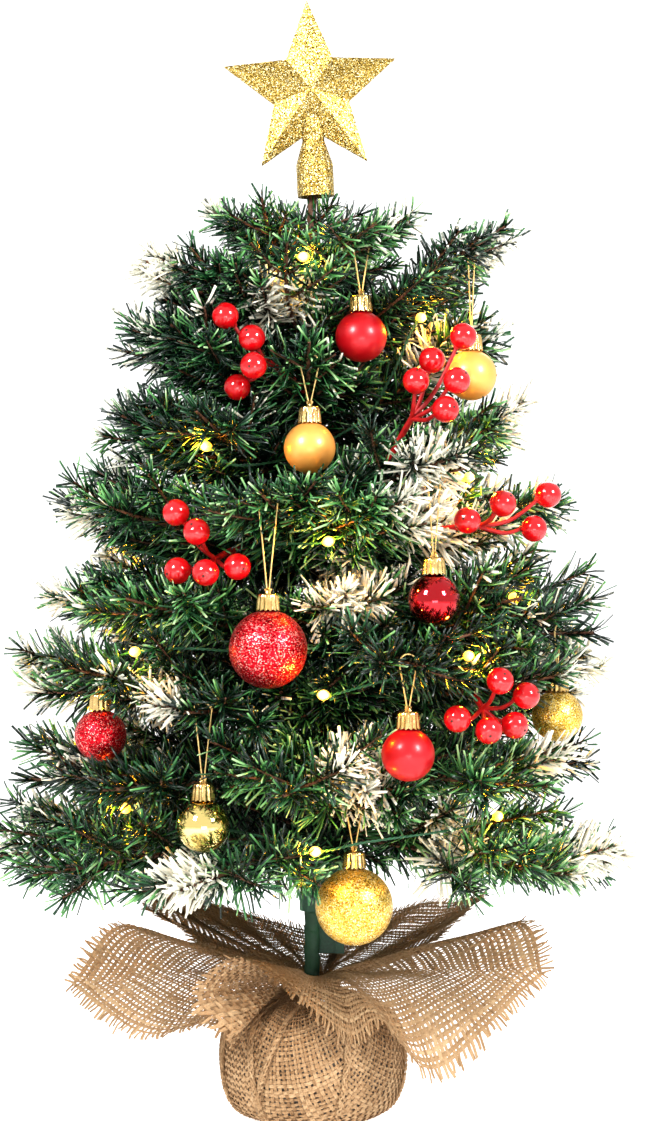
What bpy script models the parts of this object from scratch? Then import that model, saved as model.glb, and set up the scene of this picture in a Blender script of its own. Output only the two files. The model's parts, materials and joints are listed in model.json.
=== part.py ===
"""An artificial tabletop tree: a weighted burlap base, a wrapped trunk with nine tiers of
branches, ten hanging baubles, five berry picks, a battery light string and a star topper.

Metres, +Z up. The origin is on the trunk's axis, on the surface that the base stands on.
The tree is seen from -Y, with +X to the right.
"""

from collections import namedtuple
from math import asin, atan, atan2, cos, degrees, hypot, pi, radians, sin

import bmesh
import bpy
from mathutils import Matrix, Vector

# Fits.
GAP = 0.0003  # between pieces that touch
WELD = 0.00001
RIM_OVERLAP = 0.002

# Burlap bag, its weight and its tie.
BAG_RADIUS = 0.0515
BAG_FOOT_RADIUS = 0.030
BAG_HEIGHT = 0.078
NECK_RADIUS = 0.013
NECK_LENGTH = 0.006
SHOULDER_REACH = 0.012
SHOULDER_DROP = 0.010
BURLAP = 0.0016
BURLAP_SIDES = 36
COLLAR_STEPS = (0.2, 0.45, 0.7, 1.0)
COLLAR_LIFT = 2.2  # how late the collar turns up or down between the neck and its edge
WEIGHT_SLACK = 0.0008
WEIGHT_TOP = 0.056
WEIGHT_SHOULDER = 0.038
TWINE = 0.0024

# The collar's edge: azimuth in degrees, distance from the axis, height.
COLLAR_EDGE = (
    (0, 0.124, 0.100), (22, 0.108, 0.090), (50, 0.128, 0.112), (72, 0.098, 0.100),
    (95, 0.090, 0.104), (126, 0.140, 0.122), (152, 0.104, 0.104), (180, 0.118, 0.108),
    (199, 0.143, 0.076), (216, 0.120, 0.050), (232, 0.086, 0.058), (250, 0.078, 0.088),
    (268, 0.052, 0.066), (288, 0.058, 0.048), (304, 0.074, 0.062), (318, 0.104, 0.036),
    (345, 0.139, 0.080),
)

# Trunk and leader.
TRUNK_RADIUS = 0.0045
TRUNK_FOOT = 0.012
TRUNK_TOP = 0.472
LEADER_RADIUS = 0.0026
LEADER_TOP = 0.527

# Branches.
HUB_RADIUS = 0.0098
HUB_HEIGHT = 0.018
ARM_ROOT_COVER = 0.0006
ARM_ROOT_RADIUS = 0.0046
ARM_TIP_RADIUS = 0.0024
ARM_SIDES = 6
HANGER_SPARE = 0.020  # how far a branch goes on past the string that hangs on it

# Each tier: height of its hub, reach and rise of its branches, their azimuths, and the reach of
# the ones that stay short behind something that hangs in front of them.
Tier = namedtuple("Tier", "root reach rise azimuths short")
TIERS = {
    "whorl_1": Tier(0.158, 0.172, -0.016, (2, 98, 138, 178, -146, -112, -36), {-80: 0.080}),
    "whorl_2": Tier(0.190, 0.158, -0.002, (18, 62, 105, 152, -162, -132, -95, -40), {}),
    "whorl_3": Tier(0.222, 0.158, 0.023, (4, 40, 84, 126, 170, -34), {-99: 0.086, -79: 0.098}),
    "whorl_4": Tier(0.258, 0.142, 0.027, (20, 66, 110, 152, -165, -132, -40), {-104: 0.078}),
    "whorl_5": Tier(0.296, 0.135, 0.040, (3, 45, 93, 136, 177, -152, -76), {-124: 0.078, -44: 0.096}),
    "whorl_6": Tier(0.335, 0.112, 0.046, (26, 72, 118, 164, -154, -122, -22), {-88: 0.042}),
    "whorl_7": Tier(0.372, 0.100, 0.056, (2, 52, 100, 153, -164, -138), {-58: 0.048}),
    "whorl_8": Tier(0.410, 0.092, 0.058, (32, 84, 134, -175, -134, -98), {-62: 0.046}),
    "whorl_9": Tier(0.447, 0.056, 0.049, (10, 70, 128, -172, -118), {}),
}
Arm = namedtuple("Arm", "azimuth reach root slope")
LEADER_ARMS = Tier(0.484, 0.030, 0.011, (20, 110, 200, 290), {})

# Baubles: the tier that each hangs on, where its string goes over the branch, the drop from there
# to the middle of the ball, and its radius.
SMALL_BALL = 0.0135
LARGE_BALL = 0.020
Bauble = namedtuple("Bauble", "tier x y z drop radius")
BAUBLES = {
    "bauble_1": Bauble("whorl_9", 0.026, -0.060, 0.472, 0.050, SMALL_BALL),
    "bauble_2": Bauble("whorl_7", -0.001, -0.072, 0.407, 0.044, SMALL_BALL),
    "bauble_3": Bauble("whorl_8", 0.085, -0.040, 0.469, 0.066, SMALL_BALL),
    "bauble_4": Bauble("whorl_6", 0.063, -0.097, 0.354, 0.070, SMALL_BALL),
    "bauble_5": Bauble("whorl_5", -0.022, -0.110, 0.332, 0.073, LARGE_BALL),
    "bauble_6": Bauble("whorl_3", -0.110, -0.074, 0.245, 0.032, SMALL_BALL),
    "bauble_7": Bauble("whorl_3", -0.055, -0.110, 0.227, 0.058, SMALL_BALL),
    "bauble_8": Bauble("whorl_2", 0.022, -0.092, 0.180, 0.054, LARGE_BALL),
    "bauble_9": Bauble("whorl_4", 0.049, -0.120, 0.252, 0.046, SMALL_BALL),
    "bauble_10": Bauble("whorl_4", 0.130, -0.050, 0.265, 0.043, SMALL_BALL),
}
BALL_WALL = 0.0012
BALL_NECK = 0.0040
BALL_NECK_HEIGHT = 0.0072
CAP_RADIUS = 0.0058
CAP_WALL = 0.0006
STAPLE_RADIUS = 0.0028
STAPLE_WIRE = 0.0006
STRING = 0.0005
STRING_SLACK = 0.0013
STRING_SEAT = 0.0013  # height of the string over the cap, inside the staple
STRING_FOOT = ((0.0016, 0.0012), (0.0007, 0))  # how it narrows under the staple
BALL_SIDES = 13

# Berry picks: the branch and the distance along it where the stem is tied, the fork of the stem,
# and the middles of the berries.
BERRY = 0.0070
STALK = 0.0010
STALK_FOOT, STALK_FORK, STALK_TWIG = 1.2 * STALK, 1.3 * STALK, 0.8 * STALK
Pick = namedtuple("Pick", "tier arm along fork berries")
PICKS = {
    "berry_pick_1": Pick("whorl_7", "bauble_2", 0.042, (-0.022, -0.062, 0.408), (
        (-0.045, -0.072, 0.432), (-0.031, -0.078, 0.420), (-0.030, -0.086, 0.405), (-0.039, -0.066, 0.395))),
    "berry_pick_2": Pick("whorl_6", "bauble_4", 0.066, (0.052, -0.074, 0.378), (
        (0.079, -0.076, 0.421), (0.063, -0.070, 0.409), (0.075, -0.090, 0.397), (0.069, -0.094, 0.382),
        (0.054, -0.088, 0.397))),
    "berry_pick_3": Pick("whorl_5", -124, 0.058, (-0.050, -0.078, 0.305), (
        (-0.070, -0.088, 0.329), (-0.059, -0.096, 0.319), (-0.054, -0.104, 0.298), (-0.038, -0.098, 0.301),
        (-0.069, -0.090, 0.299))),
    "berry_pick_4": Pick("whorl_5", -44, 0.074, (0.088, -0.060, 0.322), (
        (0.125, -0.052, 0.339), (0.100, -0.070, 0.334), (0.081, -0.078, 0.325), (0.117, -0.060, 0.321))),
    "berry_pick_5": Pick("whorl_3", -34, 0.100, (0.088, -0.092, 0.228), (
        (0.096, -0.112, 0.243), (0.110, -0.102, 0.235), (0.074, -0.118, 0.224), (0.090, -0.116, 0.218),
        (0.104, -0.104, 0.220))),
}

# Light string: the lamps' places along the wire (azimuth in degrees, distance from the axis,
# height), and the places between them where the wire passes a branch or a bauble.
WIRE = 0.0007
LAMP = 0.0024
LAMP_LENGTH = 0.0075
Stop = namedtuple("Stop", "azimuth radius z lamp")
LIGHT_ROUTE = (
    Stop(83, 0.048, 0.147, 0), Stop(79, 0.056, 0.159, 0), Stop(77, 0.067, 0.169, 0),
    Stop(104, 0.092, 0.170, 1), Stop(140, 0.110, 0.172, 0), Stop(172, 0.120, 0.172, 1),
    Stop(218, 0.123, 0.175, 1), Stop(232, 0.108, 0.168, 0), Stop(244, 0.092, 0.164, 0),
    Stop(258, 0.105, 0.162, 0), Stop(271, 0.120, 0.157, 1), Stop(285, 0.128, 0.163, 0),
    Stop(322, 0.123, 0.171, 1), Stop(346, 0.124, 0.190, 0), Stop(372, 0.120, 0.212, 1),
    Stop(420, 0.112, 0.212, 0), Stop(456, 0.112, 0.214, 1), Stop(510, 0.112, 0.216, 0),
    Stop(541, 0.118, 0.222, 1), Stop(552, 0.120, 0.240, 0), Stop(583, 0.125, 0.257, 1),
    Stop(604, 0.104, 0.258, 0), Stop(618, 0.080, 0.252, 0), Stop(628, 0.100, 0.240, 0),
    Stop(633, 0.118, 0.236, 1), Stop(645, 0.114, 0.241, 0), Stop(672, 0.121, 0.255, 1),
    Stop(699, 0.114, 0.272, 0), Stop(720, 0.110, 0.284, 1), Stop(736, 0.108, 0.298, 0),
    Stop(800, 0.098, 0.302, 1), Stop(850, 0.096, 0.302, 0), Stop(888, 0.100, 0.304, 1),
    Stop(922, 0.102, 0.309, 0), Stop(940, 0.090, 0.303, 0), Stop(956, 0.068, 0.300, 0),
    Stop(978, 0.090, 0.312, 0), Stop(995, 0.100, 0.314, 1), Stop(1016, 0.100, 0.330, 0),
    Stop(1046, 0.100, 0.348, 1), Stop(1094, 0.086, 0.347, 1), Stop(1140, 0.080, 0.346, 0),
    Stop(1180, 0.080, 0.347, 1), Stop(1250, 0.080, 0.350, 0), Stop(1292, 0.084, 0.355, 0),
    Stop(1310, 0.086, 0.364, 1), Stop(1320, 0.076, 0.354, 0), Stop(1350, 0.046, 0.363, 0),
    Stop(1383, 0.052, 0.380, 0), Stop(1396, 0.060, 0.404, 0), Stop(1409, 0.068, 0.434, 1),
    Stop(1440, 0.066, 0.431, 0), Stop(1485, 0.064, 0.430, 1), Stop(1570, 0.062, 0.429, 1),
    Stop(1626, 0.062, 0.429, 0), Stop(1646, 0.056, 0.446, 0), Stop(1664, 0.050, 0.462, 0),
    Stop(1705, 0.050, 0.465, 1),
)
ROUTE_STEP = 0.024
WIRE_DROP = 0.008  # from the top of the battery box to where the wire leaves its back
WIRE_LEAD = 0.003

# Star topper.
STAR_POINT = 0.0490
STAR_NOTCH = 0.0215
STAR_DEPTH = 0.0105
STAR_EDGE = 0.0016
STAR_HOLLOW = 0.86
STAR_HEIGHT = 0.058  # from the socket's rim to the middle of the star
STAR_LEAN = 2.8
SOCKET_X = 0.0022
SOCKET_Z = 0.503
SOCKET_RADIUS = 0.010
SOCKET_BORE = 0.0084
SOCKET_STRAIGHT = 0.0175
SOCKET_SHOULDER = 0.013
SOCKET_NECK = 0.0060
SOCKET_DEPTH = 0.027

# Battery box.
CELL_RADIUS = 0.0071
CELL_LENGTH = 0.0500
CELL_NUB_RADIUS = 0.0027
CELL_NUB = 0.0012
CELL_ROOM = 0.0004
SPRING_LENGTH = 0.0030
SPRING_FOOT_RADIUS = 0.0035
SPRING_TIP_RADIUS = 0.0018
PLATE = 0.0004
CASE_WALL = 0.0015
CASE_LEFT = -0.0005
CASE_FRONT = 0.0080
CASE_FOOT = 0.0885
DOOR = 0.0013
DOOR_LIP = 0.0032
CLIP_RADIUS = 0.0068
CLIP_HEIGHT = 0.010
CLIP_NECK_REACH = 0.004
CLIP_NECK_INSET = 0.001
SLIDER = (0.0022, 0.0040, 0.0060)
SLIDER_DROP = 0.022  # from the top of the case to the slider's foot
SLIDER_INSET = 0.008

case_width = 4 * (CELL_RADIUS + CELL_ROOM) + 2 * CASE_WALL
case_depth = 2 * (CELL_RADIUS + CELL_ROOM) + CASE_WALL
case_height = CELL_LENGTH + CELL_NUB + SPRING_LENGTH + 2 * PLATE + 4 * GAP + 2 * CASE_WALL
case_back = CASE_FRONT + case_width


for old in list(bpy.data.objects):
    bpy.data.objects.remove(old)
parts = bpy.data.collections.new("tabletop_tree")
cutters = bpy.data.collections.new("cutters")
for collection in (parts, cutters):
    bpy.context.scene.collection.children.link(collection)


def finish(name, colour, roughness, metallic=0.0):
    """A plain Principled material."""
    material = bpy.data.materials.new(name)
    material.use_nodes = True
    shader = material.node_tree.nodes["Principled BSDF"]
    shader.inputs["Base Color"].default_value = (*colour, 1)
    shader.inputs["Roughness"].default_value = roughness
    shader.inputs["Metallic"].default_value = metallic
    return material


BURLAP_CLOTH = finish("burlap", (0.56, 0.40, 0.24), 0.95)
CEMENT = finish("cement", (0.55, 0.54, 0.51), 0.9)
TWINE_FIBRE = finish("twine", (0.50, 0.36, 0.20), 0.95)
TRUNK_WRAP = finish("trunk_wrap", (0.02, 0.09, 0.04), 0.6)
NEEDLES = finish("needles", (0.03, 0.18, 0.07), 0.55)
RED_SATIN = finish("red_satin", (0.65, 0.02, 0.03), 0.35, 0.6)
RED_MIRROR = finish("red_mirror", (0.55, 0.01, 0.02), 0.06, 0.9)
RED_GLITTER = finish("red_glitter", (0.70, 0.02, 0.04), 0.3, 0.7)
GOLD_SATIN = finish("gold_satin", (0.85, 0.55, 0.20), 0.35, 0.8)
GOLD_MIRROR = finish("gold_mirror", (0.90, 0.68, 0.22), 0.06, 1.0)
GOLD_GLITTER = finish("gold_glitter", (0.85, 0.62, 0.20), 0.3, 0.8)
GOLD_FOIL = finish("gold_foil", (0.85, 0.64, 0.28), 0.2, 1.0)
GOLD_CORD = finish("gold_cord", (0.80, 0.60, 0.28), 0.5, 0.4)
BERRY_RED = finish("berry_red", (0.70, 0.01, 0.02), 0.12)
LIGHT_WIRE = finish("light_wire", (0.03, 0.15, 0.06), 0.4)
CASE_GREEN = finish("case_green", (0.02, 0.10, 0.05), 0.45)
CELL_JACKET = finish("cell_jacket", (0.25, 0.25, 0.27), 0.35, 0.3)
CONTACT_STEEL = finish("contact_steel", (0.75, 0.75, 0.75), 0.25, 1.0)
SWITCH_BLACK = finish("switch_black", (0.03, 0.03, 0.03), 0.5)

BALL_FINISHES = {
    "bauble_1": RED_SATIN, "bauble_2": GOLD_SATIN, "bauble_3": GOLD_SATIN, "bauble_4": RED_MIRROR,
    "bauble_5": RED_GLITTER, "bauble_6": RED_GLITTER, "bauble_7": GOLD_MIRROR,
    "bauble_8": GOLD_GLITTER, "bauble_9": RED_SATIN, "bauble_10": GOLD_GLITTER,
}


def place(name, data, material, home=parts, parent=None):
    """A new object in the part's collection, or a hidden helper in the cutters' one."""
    made = bpy.data.objects.new(name, data)
    home.objects.link(made)
    if material:
        data.materials.append(material)
    if home is cutters:
        made.hide_render = True
        made.display_type = "WIRE"
    made.parent = parent
    return made


def smooth(made, angle=35):
    made.data.shade_smooth()
    made.data.set_sharp_from_angle(angle=radians(angle))
    return made


def turned(name, profile, material, sides=24, closed=False, **where):
    """A profile of (radius, height) points turned about Z. It goes up inside and down outside."""
    mesh = bpy.data.meshes.new(name)
    edges = [(i, i + 1) for i in range(len(profile) - 1)]
    if closed:
        edges.append((len(profile) - 1, 0))
    mesh.from_pydata([(r, 0, z) for r, z in profile], edges, [])
    made = place(name, mesh, material, **where)
    turn = made.modifiers.new("turn", "SCREW")
    turn.steps = turn.render_steps = sides
    turn.use_merge_vertices = True
    turn.merge_threshold = WELD
    return made


def block(name, low, high, material, **where):
    """A box between two corners."""
    low, high = Vector(low), Vector(high)
    shape = bmesh.new()
    bmesh.ops.create_cube(shape, size=1)
    bmesh.ops.scale(shape, vec=high - low, verts=shape.verts)
    bmesh.ops.translate(shape, vec=(low + high) / 2, verts=shape.verts)
    mesh = bpy.data.meshes.new(name)
    shape.to_mesh(mesh)
    shape.free()
    return place(name, mesh, material, **where)


def join(target, tool, operation="UNION", overlaps=False):
    """Adds a helper's shape to a piece, or cuts it away."""
    boolean = target.modifiers.new(tool.name, "BOOLEAN")
    boolean.operation = operation
    boolean.use_self = overlaps
    boolean.object = tool


def tube(name, points, radius, material, cyclic=False, radii=None, **where):
    """A round wire through the points, with closed ends unless it is a ring."""
    curve = bpy.data.curves.new(name, "CURVE")
    curve.dimensions = "3D"
    curve.bevel_depth = radius
    curve.bevel_resolution = 2
    curve.use_fill_caps = not cyclic
    line = curve.splines.new("POLY")
    line.points.add(len(points) - 1)
    for i, at in enumerate(points):
        line.points[i].co = (*at, 1)
        line.points[i].radius = radii[i] if radii else 1
    line.use_cyclic_u = cyclic
    return place(name, curve, material, **where)


def meshed(made, material=None):
    """The same object with its curve made into a closed mesh."""
    bpy.context.view_layer.update()
    graph = bpy.context.evaluated_depsgraph_get()
    mesh = bpy.data.meshes.new_from_object(made.evaluated_get(graph))
    shape = bmesh.new()
    shape.from_mesh(mesh)
    bmesh.ops.remove_doubles(shape, verts=shape.verts, dist=WELD)
    bmesh.ops.recalc_face_normals(shape, faces=shape.faces)
    shape.to_mesh(mesh)
    shape.free()
    name, matrix, parent = made.name, made.matrix_world.copy(), made.parent
    home = made.users_collection[0]
    bpy.data.objects.remove(made)
    mesh.materials.clear()
    solid = place(name, mesh, material, home=home, parent=parent)
    solid.matrix_world = matrix
    return solid


def add_cone(shape, start, end, start_radius, end_radius, sides):
    """Adds a closed cone or rod between two points to a bmesh."""
    start, end = Vector(start), Vector(end)
    along = end - start
    turn = along.to_track_quat("Z", "Y").to_matrix().to_4x4()
    bmesh.ops.create_cone(
        shape, cap_ends=True, segments=sides, radius1=start_radius, radius2=end_radius,
        depth=along.length, matrix=Matrix.Translation((start + end) / 2) @ turn)


def helper(name, shape):
    """A bmesh as a hidden helper, ready for a Boolean."""
    mesh = bpy.data.meshes.new(name)
    shape.to_mesh(mesh)
    shape.free()
    return place(name, mesh, None, home=cutters)


# --- Branches ------------------------------------------------------------------------------


def arms_of(tier_name):
    """The branches of a tier, by azimuth, and by bauble for the ones that a bauble hangs on."""
    tier = TIERS[tier_name]
    slope = tier.rise / tier.reach
    arms = {a: Arm(a, tier.reach, tier.root, slope) for a in tier.azimuths}
    for azimuth, reach in tier.short.items():
        arms[azimuth] = Arm(azimuth, reach, tier.root, slope)
    for name, bauble in BAUBLES.items():
        if bauble.tier == tier_name:
            along = hypot(bauble.x, bauble.y)
            azimuth = degrees(atan2(bauble.y, bauble.x))
            arms[name] = Arm(azimuth, along + HANGER_SPARE, tier.root, (bauble.z - tier.root) / along)
    return arms


def arm_point(arm, along):
    turn = radians(arm.azimuth)
    return Vector((along * cos(turn), along * sin(turn), arm.root + arm.slope * along))


def arm_radius(arm, along):
    return ARM_ROOT_RADIUS + (ARM_TIP_RADIUS - ARM_ROOT_RADIUS) * along / arm.reach


def whorl(name, arms, root, bore, outside):
    """One tier: a sleeve on the trunk, and its branches."""
    low, high = root - HUB_HEIGHT / 2, root + HUB_HEIGHT / 2
    ring = ((bore, low), (bore, high), (outside, high), (outside, low))
    hub = turned(name, ring, NEEDLES, sides=12, closed=True)
    shape = bmesh.new()
    for arm in arms:
        start = bore + ARM_ROOT_COVER + ARM_ROOT_RADIUS * abs(sin(atan(arm.slope)))
        add_cone(shape, arm_point(arm, start), arm_point(arm, arm.reach),
                 arm_radius(arm, start), arm_radius(arm, arm.reach), ARM_SIDES)
    join(hub, helper(name + "_arms", shape), overlaps=True)
    return hub


for tier_name, tier in TIERS.items():
    whorl(tier_name, arms_of(tier_name).values(), tier.root, TRUNK_RADIUS + GAP, HUB_RADIUS)


# --- Base and trunk ------------------------------------------------------------------------

BAG_PROFILE = (
    (BAG_FOOT_RADIUS / 2, 0.0), (BAG_FOOT_RADIUS, 0.0), (0.83 * BAG_RADIUS, 0.07 * BAG_HEIGHT),
    (0.95 * BAG_RADIUS, 0.21 * BAG_HEIGHT), (BAG_RADIUS, 0.42 * BAG_HEIGHT),
    (0.965 * BAG_RADIUS, 0.62 * BAG_HEIGHT), (0.82 * BAG_RADIUS, 0.78 * BAG_HEIGHT),
    (NECK_RADIUS + SHOULDER_REACH, BAG_HEIGHT - SHOULDER_DROP), (NECK_RADIUS, BAG_HEIGHT - NECK_LENGTH),
    (NECK_RADIUS, BAG_HEIGHT),
)


def collar_edge(azimuth):
    """Distance and height of the cloth's edge, on a smooth curve through its chosen points."""
    azimuth %= 360
    ring = COLLAR_EDGE
    count = len(ring)
    i = max(k for k in range(count) if ring[k][0] <= azimuth)
    start, end = ring[i][0], ring[(i + 1) % count][0] or 360
    if end < start:
        end += 360
    t = (azimuth - start) / (end - start)
    found = []
    for axis in (1, 2):
        a, b, c, d = (ring[(i + k) % count][axis] for k in (-1, 0, 1, 2))
        found.append(b + t / 2 * (c - a + t * (2 * a - 5 * b + 4 * c - d + t * (3 * (b - c) + d - a))))
    return found


def burlap_wrap():
    """The bag, its gathered neck and the spread collar: one sheet with its thickness."""
    shape = bmesh.new()
    centre = shape.verts.new((0, 0, 0))
    rows = [[(r, z)] * BURLAP_SIDES for r, z in BAG_PROFILE]
    for step in COLLAR_STEPS:
        row = []
        for k in range(BURLAP_SIDES):
            reach, height = collar_edge(360 * k / BURLAP_SIDES)
            row.append((NECK_RADIUS + (reach - NECK_RADIUS) * step,
                        BAG_HEIGHT + (height - BAG_HEIGHT) * step**COLLAR_LIFT))
        rows.append(row)
    rings = []
    for row in rows:
        ring = []
        for k, (r, z) in enumerate(row):
            turn = 2 * pi * k / BURLAP_SIDES
            ring.append(shape.verts.new((r * cos(turn), r * sin(turn), z)))
        rings.append(ring)
    for k in range(BURLAP_SIDES):
        after = (k + 1) % BURLAP_SIDES
        shape.faces.new((centre, rings[0][after], rings[0][k]))
        for inner, outer in zip(rings, rings[1:]):
            shape.faces.new((inner[k], inner[after], outer[after], outer[k]))
    mesh = bpy.data.meshes.new("burlap_wrap")
    shape.to_mesh(mesh)
    shape.free()
    made = place("burlap_wrap", mesh, BURLAP_CLOTH)
    thick = made.modifiers.new("cloth", "SOLIDIFY")
    thick.thickness = BURLAP
    thick.offset = -1
    smooth(made)


burlap_wrap()

inset = BURLAP + WEIGHT_SLACK
bag_waist = max(BAG_PROFILE)[1]
weight_side = [(r - inset, z + (inset if z < bag_waist else -inset)) for r, z in BAG_PROFILE
               if z < WEIGHT_TOP]
bore = TRUNK_RADIUS + GAP
weight_profile = [(0, TRUNK_FOOT - GAP), (bore, TRUNK_FOOT - GAP), (bore, WEIGHT_TOP),
                  (WEIGHT_SHOULDER, WEIGHT_TOP), *reversed(weight_side), (0, inset)]
smooth(turned("base_weight", weight_profile, CEMENT, sides=24))

twine_ring = NECK_RADIUS + TWINE / 2 + 2 * GAP
twine_height = BAG_HEIGHT - NECK_LENGTH / 2
tube("neck_twine", [(twine_ring * cos(pi * k / 9), twine_ring * sin(pi * k / 9), twine_height)
                    for k in range(18)], TWINE / 2, TWINE_FIBRE, cyclic=True)

trunk = ((0, TRUNK_TOP), (TRUNK_RADIUS, TRUNK_TOP), (TRUNK_RADIUS, TRUNK_FOOT), (0, TRUNK_FOOT))
smooth(turned("trunk_pole", trunk, TRUNK_WRAP, sides=16))

leader_foot = TRUNK_TOP + GAP
leader = turned("leader", ((0, LEADER_TOP), (LEADER_RADIUS, LEADER_TOP - 0.002),
                           (LEADER_RADIUS, leader_foot), (0, leader_foot)), NEEDLES, sides=12)
leader_arms = bmesh.new()
for azimuth in LEADER_ARMS.azimuths:
    arm = Arm(azimuth, LEADER_ARMS.reach, LEADER_ARMS.root, LEADER_ARMS.rise / LEADER_ARMS.reach)
    add_cone(leader_arms, arm_point(arm, 0.0005), arm_point(arm, arm.reach),
             LEADER_RADIUS * 0.9, LEADER_RADIUS * 0.6, ARM_SIDES)
join(leader, helper("leader_twigs", leader_arms), overlaps=True)


# --- Baubles -------------------------------------------------------------------------------


def ball_arc(radius, mouth, middle, steps):
    """A ball's profile from its mouth down to its lowest point."""
    first = asin(mouth / radius)
    turns = [first + (pi - first) * k / steps for k in range(steps)]
    return [(radius * sin(turn), middle + radius * cos(turn)) for turn in turns] + [(0, middle - radius)]


def bauble(name, spec):
    """A hollow ball, its crown cap with a staple, and its string over the branch."""
    arm = arms_of(spec.tier)[name]
    along = hypot(spec.x, spec.y)
    hinge = bpy.data.objects.new(name + "_hinge", None)
    hinge.location = (spec.x, spec.y, spec.z)
    hinge.rotation_euler = (0, 0, radians(arm.azimuth))  # its X points away from the trunk
    parts.objects.link(hinge)

    radius, middle = spec.radius, -spec.drop
    neck_top = middle + radius + BALL_NECK_HEIGHT
    hollow = radius - BALL_WALL
    inside = [(BALL_NECK - BALL_WALL, neck_top), *ball_arc(hollow, BALL_NECK - BALL_WALL, middle, 3)]
    outside = [(BALL_NECK, neck_top), *ball_arc(radius, BALL_NECK, middle, 6)]
    smooth(turned(name + "_ball", inside[::-1] + outside, BALL_FINISHES[name],
                  sides=BALL_SIDES, parent=hinge))

    skirt = middle + (radius**2 - (CAP_RADIUS - CAP_WALL * 2) ** 2) ** 0.5 + GAP
    roof = neck_top + GAP + CAP_WALL
    cup = CAP_RADIUS - CAP_WALL
    cap = turned(name + "_cap", ((0, roof - CAP_WALL), (cup - 0.0006, roof - CAP_WALL), (cup, skirt),
                                 (CAP_RADIUS, skirt), (CAP_RADIUS - 0.0006, roof), (0, roof)),
                 GOLD_FOIL, sides=10, parent=hinge)
    arch = [(STAPLE_RADIUS * cos(pi * k / 5), 0, roof + STAPLE_RADIUS * sin(pi * k / 5)) for k in range(6)]
    arch = [(STAPLE_RADIUS, 0, roof - CAP_WALL / 2), *arch, (-STAPLE_RADIUS, 0, roof - CAP_WALL / 2)]
    staple = tube(name + "_staple", arch, STAPLE_WIRE, None, home=cutters)
    staple.data.bevel_resolution = 1
    staple = meshed(staple)
    staple.parent = hinge
    staple.matrix_world = hinge_matrix(hinge)
    join(cap, staple)

    turn_radius = arm_radius(arm, along) + GAP + STRING + STRING_SLACK
    seat = roof + STRING_SEAT
    over = [(0, turn_radius * cos(pi * k / 6), turn_radius * sin(pi * k / 6)) for k in range(7)]
    under = [(0, -side, seat + up) for side, up in STRING_FOOT]
    under += [(0, side, seat + up) for side, up in reversed(STRING_FOOT)]
    tube(name + "_string", over + under, STRING, GOLD_CORD, cyclic=True, parent=hinge)


def hinge_matrix(hinge):
    return Matrix.Translation(hinge.location) @ hinge.rotation_euler.to_matrix().to_4x4()


for bauble_name, spec in BAUBLES.items():
    bauble(bauble_name, spec)


# --- Berry picks ---------------------------------------------------------------------------


def berry_pick(name, pick):
    """Red berries on a forked stem, which is tied round a branch with its own end."""
    arm = arms_of(pick.tier)[pick.arm]
    at = arm_point(arm, pick.along)
    direction = (arm_point(arm, arm.reach) - at).normalized()
    side = direction.cross(Vector((0, 0, 1))).normalized()
    up = side.cross(direction)
    ring_radius = arm_radius(arm, pick.along) + GAP + STALK
    ring = [at + ring_radius * (cos(pi * k / 4) * side + sin(pi * k / 4) * up) for k in range(8)]
    tie = tube(name, ring, STALK, None, cyclic=True)
    tie.data.bevel_resolution = 1
    tie = meshed(tie, BERRY_RED)
    fork = Vector(pick.fork)
    start = min(ring, key=lambda point: (point - fork).length)
    shape = bmesh.new()
    add_cone(shape, start, fork, STALK_FOOT, STALK_FOOT, ARM_SIDES)
    bmesh.ops.create_uvsphere(shape, u_segments=6, v_segments=4, radius=STALK_FORK,
                              matrix=Matrix.Translation(fork))
    for berry in pick.berries:
        centre = Vector(berry)
        add_cone(shape, fork, centre, STALK_TWIG, STALK_TWIG, ARM_SIDES)
        bmesh.ops.create_uvsphere(shape, u_segments=8, v_segments=5, radius=BERRY,
                                  matrix=Matrix.Translation(centre))
    join(tie, helper(name + "_stems", shape), overlaps=True)


for pick_name, pick in PICKS.items():
    berry_pick(pick_name, pick)


# --- Battery box ---------------------------------------------------------------------------

case_left, case_right = CASE_LEFT, CASE_LEFT + case_depth
case_top = CASE_FOOT + case_height
case = block("battery_case", (case_left, CASE_FRONT, CASE_FOOT), (case_right, case_back, case_top), CASE_GREEN)
cavity = block("case_cavity", (case_left + CASE_WALL, CASE_FRONT + CASE_WALL, CASE_FOOT + CASE_WALL),
               (case_right + RIM_OVERLAP, case_back - CASE_WALL, case_top - CASE_WALL), None, home=cutters)
join(case, cavity, "DIFFERENCE")
clip_height = (CASE_FOOT + case_top) / 2
clip_low, clip_high = clip_height - CLIP_HEIGHT / 2, clip_height + CLIP_HEIGHT / 2
clip_bore = TRUNK_RADIUS + GAP
clip = turned("case_clip", ((clip_bore, clip_low), (clip_bore, clip_high),
                            (CLIP_RADIUS, clip_high), (CLIP_RADIUS, clip_low)),
              None, sides=16, closed=True, home=cutters)
join(case, clip)
neck = block("case_clip_neck", (0, (clip_bore + CLIP_RADIUS) / 2, clip_low + CLIP_NECK_INSET),
             (CLIP_NECK_REACH, CASE_FRONT + CASE_WALL / 2, clip_high - CLIP_NECK_INSET), None, home=cutters)
join(case, neck)

door_low = case_right + GAP
door = block("battery_door", (door_low, CASE_FRONT - GAP - DOOR, CASE_FOOT),
             (door_low + DOOR, case_back + GAP + DOOR, case_top), CASE_GREEN)
for label, low_y, high_y in (("front", CASE_FRONT - GAP - DOOR, CASE_FRONT - GAP),
                             ("back", case_back + GAP, case_back + GAP + DOOR)):
    join(door, block("door_lip_" + label, (case_right - DOOR_LIP, low_y, CASE_FOOT),
                     (door_low + DOOR / 2, high_y, case_top), None, home=cutters))

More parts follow.
